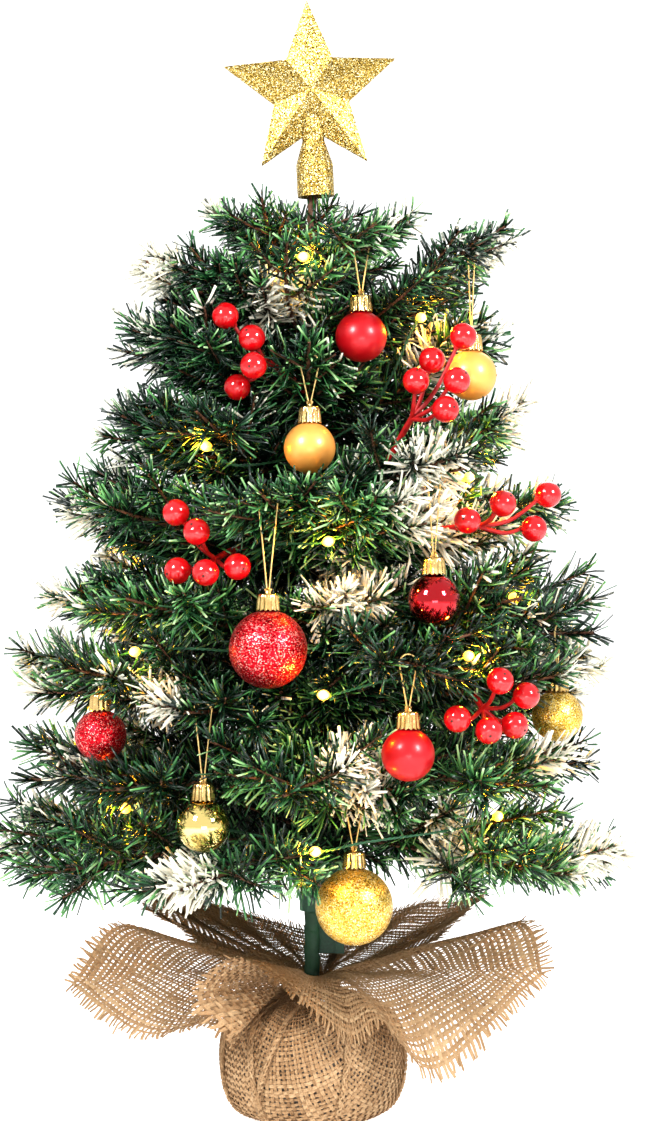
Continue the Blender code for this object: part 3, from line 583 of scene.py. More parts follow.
light_wire = mottled("light_wire", 0.0015, 2, (0.3, (0.006, 0.050, 0.020)),
                     (0.8, (0.020, 0.130, 0.050)), 0.35, 0.2)
finish = Finish("lamp_bead")
bead_glow = finish.stored("glow")
lamp_bead = finish.surface(
    Base_Color=(1.0, 0.80, 0.30), Roughness=0.1, Emission_Strength=3.0,
    Emission_Color=finish.ramp(bead_glow, (0.0, (0.9, 0.36, 0.01)), (0.5, (1.0, 0.46, 0.02)),
                               (1.0, (1.0, 0.60, 0.10))))


def frame_of(path):
    """The directions along a path, and two across it."""
    along = unit(np.gradient(path, axis=0))
    across = unit(np.cross(along, (0, 0, 1.0)))
    return along, across, np.cross(across, along)


# The way of the wire up the tree: azimuth, distance from the axis, height, and 1 where a lamp is.
LAMPS_AND_BENDS = (
    (83, 0.048, 0.147, 0), (79, 0.056, 0.159, 0), (77, 0.067, 0.169, 0), (104, 0.092, 0.170, 1),
    (140, 0.110, 0.172, 0), (172, 0.120, 0.172, 1), (218, 0.123, 0.175, 1), (232, 0.108, 0.168, 0),
    (244, 0.092, 0.164, 0), (258, 0.105, 0.162, 0), (271, 0.120, 0.157, 1), (285, 0.128, 0.163, 0),
    (322, 0.123, 0.171, 1), (346, 0.124, 0.190, 0), (372, 0.120, 0.212, 1), (420, 0.112, 0.212, 0),
    (456, 0.112, 0.214, 1), (510, 0.112, 0.216, 0), (541, 0.118, 0.222, 1), (552, 0.120, 0.240, 0),
    (583, 0.125, 0.257, 1), (604, 0.104, 0.258, 0), (618, 0.080, 0.252, 0), (628, 0.100, 0.240, 0),
    (633, 0.118, 0.236, 1), (645, 0.114, 0.241, 0), (672, 0.121, 0.255, 1), (699, 0.114, 0.272, 0),
    (720, 0.110, 0.284, 1), (736, 0.108, 0.298, 0), (800, 0.098, 0.302, 1), (850, 0.096, 0.302, 0),
    (888, 0.100, 0.304, 1), (922, 0.102, 0.309, 0), (940, 0.090, 0.303, 0), (956, 0.068, 0.300, 0),
    (978, 0.090, 0.312, 0), (995, 0.100, 0.314, 1), (1016, 0.100, 0.330, 0), (1046, 0.100, 0.348, 1),
    (1094, 0.086, 0.347, 1), (1140, 0.080, 0.346, 0), (1180, 0.080, 0.347, 1), (1250, 0.080, 0.350, 0),
    (1292, 0.084, 0.355, 0), (1310, 0.086, 0.364, 1), (1320, 0.076, 0.354, 0), (1350, 0.046, 0.363, 0),
    (1383, 0.052, 0.380, 0), (1396, 0.060, 0.404, 0), (1409, 0.068, 0.434, 1), (1440, 0.066, 0.431, 0),
    (1485, 0.064, 0.430, 1), (1570, 0.062, 0.429, 1), (1626, 0.062, 0.429, 0), (1646, 0.056, 0.446, 0),
    (1664, 0.050, 0.462, 0), (1705, 0.050, 0.465, 1),
)

route = np.array(LAMPS_AND_BENDS)
dense = smooth_line(route[:, :3], 2400)
turn = np.radians(dense[:, 0])
climb = np.stack([dense[:, 1] * np.cos(turn), dense[:, 1] * np.sin(turn), dense[:, 2]], -1)
_, case_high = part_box("battery_case")
wire_exit = np.array((0.0083, case_high.y + 0.0002, case_high.z - 0.008))
climb = np.concatenate([smooth_line([wire_exit, wire_exit + (0, 0.004, 0), climb[0]], 30)[:-1], climb])
along, across, up = frame_of(climb)
gone = np.concatenate([[0], np.cumsum(np.linalg.norm(np.diff(climb, axis=0), axis=1))])
spin = (2 * pi * gone / WIRE_TWIST)[:, None]
cable = Strands()
for phase in (0, pi):
    cable.add(climb + WIRE_RADIUS * 1.05 * (np.cos(spin + phase) * across + np.sin(spin + phase) * up),
              WIRE_RADIUS, sides=5)
wire = cable.piece("light_wire", light_wire, "tree", smooth=True)
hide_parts("light_string")

bead = [(LAMP_RADIUS * sin(pi * t) ** 0.6, LAMP_LENGTH * (t - 0.5)) for t in np.linspace(0, 1, 15)]
bead[0], bead[-1] = (0, -LAMP_LENGTH / 2), (0, LAMP_LENGTH / 2)
bead_points, bead_faces = turned(bead[::-1], 16)
beads, faces, glows, lamp_centres = [], [], [], []
for azimuth, reach, height, lit in LAMPS_AND_BENDS:
    if not lit:
        continue
    at = np.array((reach * cos(radians(azimuth)), reach * sin(radians(azimuth)), height))
    nearest = int(np.argmin(np.linalg.norm(climb - at, axis=1)))
    turned_to = np.array(Vector((0, 0, 1)).rotation_difference(Vector(along[nearest])).to_matrix())
    faces.extend(group + len(beads) * len(bead_points) for group in bead_faces)
    beads.append(bead_points @ turned_to.T + at)
    lamp_centres.append(at)
    glows.append(1 - (np.abs(bead_points[:, 2]) / (LAMP_LENGTH / 2)) ** 2)
    glow = bpy.data.lights.new("lamp_glow", "POINT")
    glow.color = LAMP_COLOUR
    glow.energy = LAMP_POWER
    glow.shadow_soft_size = 0.003
    put("lamp_glow", glow).location = at + unit(at * (1, 1, 0)) * 0.006
lamps = piece("light_beads", np.concatenate(beads), faces, lamp_bead, "tree", smooth=True,
              glow=np.concatenate(glows))


# --- Branches ------------------------------------------------------------------------------
# Each tier is a spray of wire branches with side twigs. Strips of cut green film are gripped in
# the twist of the wire, and the tips of some are flocked with cream frost.

NEEDLE_LENGTH = 0.0255
NEEDLE_WIDTH = 0.00118
NEEDLE_THICKNESS = 0.00028
NEEDLE_SPACING = 0.00076
BRANCH_WIRE = 0.0015
HUB_RADIUS = 0.006
TWIG_WIRE = 0.0009
OVERHANG = 0.012  # how far needles may pass the box of the solids
SWING_ROOM = 0.002  # how far needles keep from a ball as it swings
TWIG_ROOM = 0.003
SOCKET_ROOM = 0.0085
UPPER_TIERS = "whorl_8", "whorl_9"
GOLDEN_TURN = pi * (3 - 5**0.5)
NEEDLE_SHAPE = ((0.0, 0.8), (0.55, 1.0), (1.0, 0.85))  # shares of its length and of its width
NEEDLE_FROST = (0.35, 0.85, 1.0)  # how much of a needle's frost is at each of these
NEEDLE_LEAN = 60  # degrees from the wire, less towards its end
NEEDLE_CLOSING = 28
TIP_TAPER = 0.45  # how much shorter the needles are at the end of a twig
INNER_SPRIGS = 9
# Tips of the small branches that fill the front, between the ones that carry the ornaments.
FRONT_FILL = (("whorl_4", (0.018, -0.102, 0.288)), ("whorl_3", (-0.016, -0.085, 0.236)),
              ("whorl_2", (0.028, -0.118, 0.187)), ("whorl_6", (0.020, -0.080, 0.352)))

finish = Finish("needles")
tone, along, frost = finish.stored("tone"), finish.stored("along"), finish.stored("frost")
flecks = finish.grain(0.0011, 2)
# Painted light in the needle colour: the along term darkens each needle towards the wire, painted shade deep
# in the branches. Tone is each needle's own random green, but its near-black end stands for shade in the
# depths and its palest end for glints: painted shade and painted highlights.
green = finish.ramp(
    tone * 0.74 + along * 0.26, (0.0, (0.001, 0.005, 0.004)), (0.42, (0.003, 0.020, 0.010)),
    (0.66, (0.016, 0.098, 0.028)), (0.84, (0.11, 0.32, 0.09)), (1.0, (0.48, 0.68, 0.36)))
flock = (frost * 1.5 + flecks * 0.9 - 0.75).clamp().step(0.25, 0.6)
needles = finish.surface(
    Base_Color=finish.mix(flock, green, (0.80, 0.78, 0.66)), Roughness=0.26 + 0.58 * flock,
    Normal=finish.bump(flecks * flock, 0.0006))

branch_wire = mottled("branch_wire", 0.0012, 3, (0.3, (0.050, 0.022, 0.012)),
                      (0.75, (0.20, 0.085, 0.045)), 0.55, 0.2, depth=0.0003)

# Where the flocking shows on the front, and how far round each place it reaches.
FROSTED = (
    (-0.016, 0.444, 0.017), (0.058, 0.416, 0.018), (0.066, 0.335, 0.034), (0.018, 0.288, 0.024),
    (-0.079, 0.226, 0.014), (0.025, 0.184, 0.018), (0.070, 0.150, 0.018), (-0.064, 0.122, 0.022),
    (0.128, 0.196, 0.020), (0.158, 0.138, 0.030), (-0.090, 0.462, 0.026), (-0.062, 0.498, 0.018),
    (-0.106, 0.400, 0.022), (-0.122, 0.318, 0.020), (-0.136, 0.272, 0.018), (-0.158, 0.240, 0.020),
    (0.104, 0.464, 0.020), (0.118, 0.380, 0.026), (0.150, 0.240, 0.022), (0.148, 0.300, 0.020),
)


def seen(points):
    """Where the camera sees points, across and up from the middle of its picture."""
    depth = (CAMERA_DISTANCE + points[..., 1]) / CAMERA_DISTANCE
    return np.stack([(points[..., 0] - CAMERA_X) / depth, (points[..., 2] - CAMERA_HEIGHT) / depth], -1)


class Needles:
    """Flat strips gathered into one mesh."""

    def __init__(self):
        self.rows = []

    def add(self, base, direction, length, width, tone, frost):
        self.rows.append(np.column_stack([base, direction, length, width, tone, frost]))

    def piece(self, name, body):
        rows = np.concatenate(self.rows)
        base, direction = rows[:, :3], unit(rows[:, 3:6])
        length, width, tone, frost = rows[:, 6], rows[:, 7], rows[:, 8], rows[:, 9]
        end = base + direction * length[:, None]
        low, high = np.array(frame_bounds)
        keep = ((end > low - OVERHANG) & (end < high + OVERHANG)).all(1)
        for share in (0.1, 0.55, 1.0):
            at = base + direction * length[:, None] * share
            for centre, radius in obstacles:
                keep &= np.linalg.norm(at - centre, axis=1) > radius + SWING_ROOM
            keep &= ~((at > door_path[0]) & (at < door_path[1])).all(1)
            shown = seen(at)
            for spot, radius in in_view:
                off = np.hypot(*(shown - seen(spot)).T)
                keep &= (off > radius) | (at[:, 1] > spot[1])
        base, direction, length, width = base[keep], direction[keep], length[keep], width[keep]
        tone, frost, count = tone[keep], frost[keep], keep.sum()
        curl = unit(rng.normal(size=(count, 3)) + (0, 0, 0.5))
        side = unit(np.cross(direction, curl))
        curl = np.cross(side, direction)
        bend = rng.uniform(0.02, 0.20, count)
        thick = NEEDLE_THICKNESS * (1 + 0.8 * frost)
        wide = width * (1 + 0.20 * frost)
        station = []
        for t, share in NEEDLE_SHAPE:
            lump = 1 + frost * rng.uniform(-0.35, 0.45, count)
            centre = base + direction * (length * t)[:, None] + curl * (length * bend * t * t)[:, None]
            across = side * (wide * share * lump / 2)[:, None]
            up = curl * (thick * lump / 2)[:, None]
            station.append(np.stack([centre - across - up, centre + across - up,
                                     centre + across + up, centre - across + up], 1))
        points = np.stack(station, 1).reshape(-1, 3)
        first = (np.arange(count) * 12)[:, None]
        faces = [first + [0, 3, 2, 1], first + [8, 9, 10, 11]]
        for row in (0, 4):
            for k in range(4):
                faces.append(first + [row + k, row + (k + 1) % 4, row + 4 + (k + 1) % 4, row + 4 + k])
        # The share along each needle, which the needle finish uses to darken its base as painted shade.
        reached = np.tile(np.repeat([t for t, _ in NEEDLE_SHAPE], 4), count)
        iced = np.repeat(frost, 12) * np.tile(np.repeat(NEEDLE_FROST, 4), count)
        return piece(name, points, [np.concatenate(faces)], needles, body,
                     tone=np.repeat(tone, 12), frost=iced, along=reached)


def sprig(store, wires, path, wire, start, needle, frost, tone):
    """A wire with needles all round it, from a share of its length to its end."""
    wires.add(path, np.linspace(wire, wire * 0.55, len(path)), sides=6, lobes=2, pitch=0.005, depth=0.2)
    length = np.linalg.norm(np.diff(path, axis=0), axis=1).sum()
    count = max(6, int(length * (1 - start) / NEEDLE_SPACING))
    share = start + (1 - start) * (np.arange(count) + rng.uniform(0, 1, count)) / count
    places = share * (len(path) - 1)
    low = np.minimum(places.astype(int), len(path) - 2)
    part = (places - low)[:, None]
    along, across, up = frame_of(path)
    base = path[low] * (1 - part) + path[low + 1] * part
    ahead = along[low]
    turn = GOLDEN_TURN * np.arange(count) + rng.normal(0, 0.5, count)
    out = np.cos(turn)[:, None] * across[low] + np.sin(turn)[:, None] * up[low]
    tilt = radians(NEEDLE_LEAN) - radians(NEEDLE_CLOSING) * share**2 + rng.normal(0, 0.15, count)
    direction = np.cos(tilt)[:, None] * ahead + np.sin(tilt)[:, None] * out
    size = needle * rng.uniform(0.74, 1.1, count) * (1 - TIP_TAPER * share**1.5)
    iced = frost * (share - 0.30) * 1.5
    iced = np.maximum(iced, flocked(base))
    iced = np.clip(iced + rng.normal(0, 0.22, count) * (iced > 0.05), 0, 1)
    shade = np.clip(tone + rng.normal(0, 0.30, count), 0, 1)
    store.add(base, direction, size, np.full(count, NEEDLE_WIDTH), shade, iced)


def flocked(at):
    """How much flocking the flocked places of the front put on points."""
    x, z = (seen(at) + (CAMERA_X, CAMERA_HEIGHT)).T
    near = [1 - np.hypot(x - place[0], z - place[1]) / place[2] for place in FROSTED]
    return np.clip(2 * np.max(near, axis=0), 0, 1) * (at[:, 1] < 0.02)


def frost_of(tip):
    """The flocking of a whole twig, by chance: more of those that point to the sides have it."""
    outward = abs(tip[0]) / (hypot(tip[0], tip[1]) + 0.01)
    chance = 0.45 if outward > 0.82 else 0.25 if tip[1] > 0 else 0.06
    return float(rng.uniform() < chance) * rng.uniform(0.30, 0.75)


def clear_part(path):
    """A path up to where it would meet an ornament, or cross in front of one."""
    for centre, radius in obstacles:
        met = np.nonzero(np.linalg.norm(path - centre, axis=1) < radius + TWIG_ROOM)[0]
        if len(met):
            path = path[:met[0]]
    for spot, radius in in_view:
        off = np.hypot(*(seen(path) - seen(spot)).T)
        crossing = np.nonzero((off < radius + 0.001) & (path[:, 1] < spot[1] + 0.004))[0]
        if len(crossing):
            path = path[:crossing[0]]
    return path


def branches_of(node):
    """The root and the tip of each branch of a tier, read from its solid."""
    points = np.array([v.co for v in frame["nodes"][node].data.vertices])
    reach = np.hypot(points[:, 0], points[:, 1])
    hub = points[reach < reach.min() + 0.0012]
    root = np.array((0, 0, (hub[:, 2].min() + hub[:, 2].max()) / 2))
    ends = points[reach > 0.024]
    tips = []
    while len(ends):
        near = np.linalg.norm(ends - ends[0], axis=1) < 0.009
        tips.append(ends[near].mean(0))
        ends = ends[~near]
    return [(root, tip) for tip in sorted(tips, key=lambda tip: atan2(tip[1], tip[0]))]


def branch(store, wires, root, tip, scale, highest):
    """A branch with its side twigs. They rise by up to highest for each metre out."""
    reach = np.linalg.norm(tip - root)
    ahead = unit(tip - root)
    side = unit(np.cross(ahead, (0, 0, 1.0)))
    up = np.cross(side, ahead)
    t = np.linspace(0, 1, 12)[:, None]
    sway = side * rng.normal(0, 0.004) + up * rng.uniform(-0.003, 0.002)
    path = root + ahead * HUB_RADIUS + (tip - root - ahead * HUB_RADIUS) * t + sway * np.sin(pi * t)
    tone = rng.uniform(0.25, 0.62)
    frost = frost_of(tip)
    sprig(store, wires, path, BRANCH_WIRE, 0.16, NEEDLE_LENGTH * scale, frost, tone)
    twigs = ((0.30, 0.50), (0.46, 0.46), (0.62, 0.38), (0.78, 0.27)) if reach > 0.09 else (
        (0.35, 0.45), (0.62, 0.34))
    for share, size in twigs:
        for hand in (-1, 1):
            share_here = share + rng.uniform(-0.04, 0.04)
            start = path[int(share_here * (len(path) - 1))]
            spread = radians(rng.uniform(32, 52)) * hand
            lift = rng.uniform(-0.30, highest)
            aim = unit(ahead * cos(spread) + side * sin(spread) + up * lift)
            length = reach * size * rng.uniform(0.85, 1.1)
            s = np.linspace(0, 1, 8)[:, None]
            bent = clear_part(start + aim * length * s + (ahead * 0.10 + up * 0.05) * length * s * s)
            if len(bent) < 3:
                continue
            frost_here = max(frost * (share > 0.5), frost_of(bent[-1]))
            sprig(store, wires, bent, TWIG_WIRE, 0.10, NEEDLE_LENGTH * scale * 0.94, frost_here,
                  tone + rng.uniform(-0.1, 0.12))


def foliage(store, wires, node, stem_name):
    """The needles and the wires that stand in for a solid."""
    spray = store.piece(node + "_needles", "tree")
    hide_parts(node)
    stems = wires.piece(stem_name, branch_wire, "tree")


berries = {
    "berry_pick_1": ((-0.022, -0.062, 0.408), (
        (-0.045, -0.072, 0.432), (-0.031, -0.078, 0.420), (-0.030, -0.086, 0.405), (-0.039, -0.066, 0.395))),
    "berry_pick_2": ((0.052, -0.074, 0.378), (
        (0.079, -0.076, 0.421), (0.063, -0.070, 0.409), (0.075, -0.090, 0.397), (0.069, -0.094, 0.382),
        (0.054, -0.088, 0.397))),
    "berry_pick_3": ((-0.050, -0.078, 0.305), (
        (-0.070, -0.088, 0.329), (-0.059, -0.096, 0.319), (-0.054, -0.104, 0.298), (-0.038, -0.098, 0.301),
        (-0.069, -0.090, 0.299))),
    "berry_pick_4": ((0.088, -0.060, 0.322), (
        (0.125, -0.052, 0.339), (0.100, -0.070, 0.334), (0.081, -0.078, 0.325), (0.117, -0.060, 0.321))),
    "berry_pick_5": ((0.088, -0.092, 0.228), (
        (0.096, -0.112, 0.243), (0.110, -0.102, 0.235), (0.074, -0.118, 0.224), (0.090, -0.116, 0.218),
        (0.104, -0.104, 0.220))),
}
BERRY_RADIUS = 0.0070
SWINGS = (0, -5, 10, 20, 30)
# The needles leave each ball room to swing.
obstacles = []
for name in bauble_names:
    hinge, _, sideways = bauble_axes(name)
    for turn in SWINGS:
        swing = Matrix.Rotation(radians(turn), 3, Vector(sideways))
        moved = hinge + np.array(swing @ Vector(ball_centre[name] - hinge))
        obstacles.append((moved, ball_radius[name]))
obstacles += [(np.array(berry), BERRY_RADIUS) for _, group in berries.values() for berry in group]
low, high = (np.array(corner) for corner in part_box("battery_door"))
door_path = low - 0.002, high + (0.003, 0.002, 0.013)
# Needles are trimmed from in front of these: all of most balls, their caps and the lower half of
# their strings, and the berries.
in_view = [(np.array(berry), BERRY_RADIUS + 0.0004) for _, group in berries.values() for berry in group]
for name in bauble_names:
    centre, radius = ball_centre[name], ball_radius[name]
    hidden = name in ("bauble_6", "bauble_10")
    in_view.append((centre, radius * (0.45 if hidden else 1.0)))
    if not hidden:
        hang = bauble_axes(name)[0][2] - centre[2] - radius
        in_view.append((centre + (0, 0, radius + 0.004), 0.0060))
        in_view += [(centre + (0, 0, radius + 0.008 + hang * k / 12), 0.0022) for k in range(7)]

in_view += [(lamp, LAMP_RADIUS * 1.6) for lamp in lamp_centres if lamp[1] < 0]
# The socket of the star shows over the foliage too.
low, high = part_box("star_front_shell")
middle = (low.x + high.x) / 2
in_view += [(np.array((middle, -0.004, low.z + 0.006 + 0.004 * k)), SOCKET_ROOM) for k in range(11)]

rng = np.random.default_rng(24)
tiers = sorted(node for node in frame["nodes"] if node.startswith("whorl_"))
for node in tiers:
    store, wires = Needles(), Strands()
    arms = branches_of(node)
    arms += [(arms[0][0], np.array(tip)) for tier, tip in FRONT_FILL if tier == node]
    for root, tip in arms:
        if node in UPPER_TIERS:
            branch(store, wires, root, tip, 0.76, 0.06)
        else:
            branch(store, wires, root, tip, 1.0, 0.42)
    middle = np.array(arms[0][0])
    longest = max(np.linalg.norm(tip - root) for root, tip in arms)
    # Short sprigs round the hub fill each tier's inside; their needles are painted near black, as painted
    # shade in the tree's depths.
    for k in range(INNER_SPRIGS):
        turn = 2 * pi * (k + rng.uniform(-0.3, 0.3)) / INNER_SPRIGS
        reach = longest * rng.uniform(0.38, 0.58)
        end = middle + (reach * cos(turn), reach * sin(turn), reach * rng.uniform(-0.25, 0.55))
        start = middle + (0.007 * cos(turn), 0.007 * sin(turn), 0)
        inner = clear_part(np.linspace(start, end, 8))
        if len(inner) > 2:
            sprig(store, wires, inner, TWIG_WIRE, 0.0, NEEDLE_LENGTH * 0.9, 0.0, 0.02)
    foliage(store, wires, node, node + "_wires")

store, wires = Needles(), Strands()
low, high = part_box("leader")
for _, tip in branches_of("leader"):
    sprig(store, wires, np.linspace((0, 0, tip[2] - 0.011), tip, 8), TWIG_WIRE, 0.05,
          NEEDLE_LENGTH * 0.66, 0.0, 0.4)
stalk = np.linspace((0, 0, low.z), (0, 0, high.z), 16)
sprig(store, wires, stalk[:8], TWIG_WIRE, 0.0, NEEDLE_LENGTH * 0.8, 0.0, 0.45)
wires.add(stalk, 0.0024, sides=8, lobes=2, pitch=0.006, depth=0.2)
foliage(store, wires, "leader", "leader_wire")


# --- Berry picks ---------------------------------------------------------------------------
# Glossy red balls on dipped red stems, which meet where the stem leaves its branch. Each berry has
# a small dark pip at its outer end.

STALK_RADIUS = 0.0011

finish = Finish("berry_skin")
blush = finish.grain(0.005, 2)
pits = finish.grain(0.0012, 3)
berry_skin = finish.surface(
    Base_Color=finish.ramp(blush, (0.3, (0.48, 0.002, 0.006)), (0.75, (0.72, 0.006, 0.012))),
    Roughness=0.10 + 0.10 * pits, Coat_Weight=0.6, Coat_Roughness=0.04,
    Normal=finish.bump(pits, 0.00008))
berry_stem = mottled("berry_stem", 0.0016, 3, (0.25, (0.26, 0.006, 0.008)),
                     (0.8, (0.58, 0.014, 0.016)), 0.30, 0.25, depth=0.0003)
pip_paint = Finish("berry_pip").surface(Base_Color=(0.06, 0.012, 0.006), Roughness=0.6)

ball_rows = 26
arc = pi * np.arange(1, ball_rows) / ball_rows
dimple = 1 - 0.07 * np.exp(-((pi - arc) / 0.28) ** 2) - 0.05 * np.exp(-(arc / 0.22) ** 2)
berry_profile = [(0, -BERRY_RADIUS * 0.93)]
berry_profile += [(BERRY_RADIUS * d * sin(a), -BERRY_RADIUS * d * cos(a)) for a, d in zip(arc, dimple)]
berry_profile += [(0, BERRY_RADIUS * 0.95)]
berry_points, berry_faces = turned(berry_profile[::-1], 36)

for name, (fork, group) in berries.items():
    fork = np.array(fork)
    stems, skins, pips = Strands(), [], Strands()
    solid = np.array([v.co for v in frame["nodes"][name].data.vertices])
    away = np.min([np.linalg.norm(solid - np.array(b), axis=1) for b in group], axis=0)
    tie = solid[(away > BERRY_RADIUS + 0.004) & (np.linalg.norm(solid - fork, axis=1) > 0.012)]
    hold = tie.mean(0) if len(tie) else fork - (0, -0.01, 0.004)
    stems.add(smooth_line([hold, (hold + fork) / 2 + (0, 0, 0.0012), fork], 12),
              STALK_RADIUS * 1.5, sides=10)
    faces, count = [], 0
    for berry in group:
        berry = np.array(berry)
        out = unit(berry - fork)
        span = np.linalg.norm(berry - fork)
        bow = np.array((0, 0, 0.10)) * span
        path = smooth_line([fork, fork + (berry - fork) * 0.45 - bow, berry - out * BERRY_RADIUS * 0.8], 16)
        stems.add(path, np.linspace(STALK_RADIUS * 1.15, STALK_RADIUS * 0.9, 16), sides=10)
        stems.add([berry - out * (BERRY_RADIUS * 1.12), berry - out * BERRY_RADIUS * 0.9],
                  [STALK_RADIUS * 1.1, STALK_RADIUS * 1.9], sides=10)
        turn = np.array(Vector((0, 0, 1)).rotation_difference(Vector(out)).to_matrix())
        skins.append(berry_points @ turn.T + berry)
        faces.append([group_of + count for group_of in berry_faces])
        count += len(berry_points)
        pips.add([berry + out * BERRY_RADIUS * 0.86, berry + out * BERRY_RADIUS * 0.99],
                 [0.0009, 0.0005], sides=8)
    fruit = piece(name + "_berries", np.concatenate(skins), [f for part in faces for f in part], berry_skin,
                  "tree", smooth=True)
    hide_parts(name)
    for made in (stems.piece(name + "_stems", berry_stem, "tree", smooth=60),
                 pips.piece(name + "_pips", pip_paint, "tree", smooth=60)):
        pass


# --- Star topper ---------------------------------------------------------------------------
# Two ridged half-stars of plastic, glued back to back on a socket and rolled in coarse gold
# glitter, which rounds their edges and stands up in facets.

FACET = 0.00080
STAR_LIFT = 0.00010
# The star's glitter is painted the same way: dark flakes are painted shade and the palest ones painted
# glints.
star_paint = glitter("star_glitter", (0.52, 0.36, 0.09), (0.15, 0.09, 0.012), (1.0, 0.95, 0.62))


def crusted(node, name):
    """A copy of a CAD piece, cut into fine facets and roughened."""
    source = frame["nodes"][node].data.copy()
    made = put(name, source)
    work = bmesh.new()
    work.from_mesh(source)
    bmesh.ops.remove_doubles(work, verts=work.verts, dist=0.00002)
    bmesh.ops.triangulate(work, faces=work.faces)
    for _ in range(9):
        long_edges = [edge for edge in work.edges if edge.calc_length() > FACET * 1.6]
        if not long_edges:
            break
        bmesh.ops.subdivide_edges(work, edges=long_edges, cuts=1)
        bmesh.ops.triangulate(work, faces=[face for face in work.faces if len(face.verts) > 3])
    work.normal_update()
    jolt = rng.normal(0, 1, (len(work.verts), 3))
    work.verts.ensure_lookup_table()
    for vertex, (x, y, z) in zip(work.verts, jolt * FACET * 0.07):
        vertex.co += vertex.normal * (STAR_LIFT * abs(z) / FACET * 3) + Vector((x, y, z))
    work.to_mesh(source)
    work.free()
    source.materials.clear()
    source.materials.append(star_paint)
    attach(made, "topper")
    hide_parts(node)


rng = np.random.default_rng(5)
crusted("star_front_shell", "star_front_glitter")
crusted("star_back_shell", "star_back_glitter")


# --- Battery box ---------------------------------------------------------------------------
# A plain dark green plastic box stands edge-on behind the trunk, on a clip. Its door slides up on
# one side, its small black switch is on the other, and two cells lie inside on steel contacts.

GRIP_RADIUS = 0.0004
RIDGE_RADIUS = 0.0003

case_green = mottled("case_green", 0.0006, 3, (0.3, (0.006, 0.045, 0.022)),
                     (0.7, (0.014, 0.085, 0.040)), 0.42, 0.15, depth=0.00012)
cell_jacket = mottled("cell_jacket", 0.004, 3, (0.3, (0.045, 0.045, 0.05)),
                      (0.8, (0.12, 0.12, 0.13)), 0.25, 0.2, metallic=0.3)
contact_steel = mottled("contact_steel", 0.001, 4, (0.3, (0.50, 0.50, 0.49)),
                        (0.7, (0.78, 0.78, 0.76)), 0.2, 0.2, metallic=1.0)
switch_black = mottled("switch_black", 0.0007, 2, (0.3, (0.012, 0.012, 0.012)),
                       (0.7, (0.030, 0.030, 0.030)), 0.45, 0.2)


def paint(node, material):
    """Gives a solid its material."""
    frame["nodes"][node].data.materials.clear()
    frame["nodes"][node].data.materials.append(material)


for node, material in (("battery_case", case_green), ("battery_door", case_green),
                       ("battery_cell_1", cell_jacket), ("battery_cell_2", cell_jacket),
                       ("spring_contact", contact_steel), ("flat_contact", contact_steel),
                       ("switch_slider", switch_black)):
    paint(node, material)
door_low, door_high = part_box("battery_door")
grips = Strands()
for k in range(7):
    z = door_high.z - 0.006 - 0.0018 * k
    half = 0.007 * (1 - 0.07 * k)
    middle_y = (door_low.y + door_high.y) / 2
    grips.add([(door_high.x, middle_y - half, z), (door_high.x, middle_y + half, z)],
              GRIP_RADIUS, sides=8)
grip = grips.piece("door_grip", case_green, "battery_door")
slide_low, slide_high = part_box("switch_slider")
ridges = Strands()
for k in range(4):
    z = slide_low.z + 0.0012 + 0.0012 * k
    ridges.add([(slide_low.x, slide_low.y + 0.0006, z), (slide_low.x, slide_high.y - 0.0006, z)],
               RIDGE_RADIUS, sides=8)
ridge = ridges.piece("switch_ridges", switch_black, "switch")


# --- Base weight and neck tie --------------------------------------------------------------
# A cast cement plug fills the bag round the trunk's foot. Jute twine gathers the cloth over it,
# wound twice and knotted at the front.

finish = Finish("cement")
sand = finish.grain(0.0009, 5)
stains = finish.grain(0.012, 3)
# The cement is painted dark all over, as painted shade inside the bag where it shows through the holes of the
# weave; the stains and sand are its own colour.
cement = finish.surface(
    Base_Color=finish.mix(stains, finish.ramp(sand, (0.3, (0.12, 0.11, 0.10)), (0.75, (0.26, 0.25, 0.23))),
                          (0.17, 0.15, 0.13)),
    Roughness=0.8 + 0.15 * sand, Normal=finish.bump(sand, 0.0008))
paint("base_weight", cement)

TWINE = {"sides": 12, "lobes": 3, "pitch": 0.0048, "depth": 0.16}
TWINE_RADIUS = 0.00105

jute = mottled("twine", 0.0004, 4, (0.25, (0.20, 0.11, 0.045)), (0.75, (0.56, 0.38, 0.20)),
               0.85, 0.1, depth=0.0004)
tie_low, tie_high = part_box("neck_twine")
tie_radius = (tie_high.x - tie_low.x) / 2 - 0.0012
tie_z = (tie_low.z + tie_high.z) / 2
tie = Strands()
for lift, start in ((-0.0011, 0.0), (0.0011, 1.1)):
    circle = [(tie_radius * cos(a), tie_radius * sin(a), tie_z + lift + 0.0003 * sin(3 * a))
              for a in start + 2 * pi * np.arange(64) / 64]
    tie.add(circle, TWINE_RADIUS, **TWINE, ring=True)
knot = np.array((0.004, -tie_radius - 0.0012, tie_z))
tie.add(smooth_line([knot + (-0.003, 0.001, 0.001), knot + (0, -0.0018, 0.001), knot + (0.003, 0, 0),
                     knot + (0, 0.0008, -0.0015), knot + (-0.0026, -0.001, -0.001)], 24),
        TWINE_RADIUS, **TWINE)
neck_tie = tie.piece("neck_tie", jute, "tree", smooth=True)
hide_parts("neck_twine")


# --- Burlap --------------------------------------------------------------------------------
# One square of coarse jute cloth in an open plain weave. Its middle wraps the weight, the twine
# gathers it over the top in deep pleats, and its edges flare out in four corners with a frayed fringe.

CLOTH_SIDE = 0.400
YARN_PITCH = 0.0025
YARN_WIDTH = 0.00165
YARN_ARCH = 0.0005
YARN_LIFT = 0.0004
FRINGE = 0.0060
GATHER_Z = 0.078
GATHER_RADIUS = 0.0118
FULLNESS = 0.38  # the share of the cloth round the bag that is taken up in the tucks
TUCK = 0.075
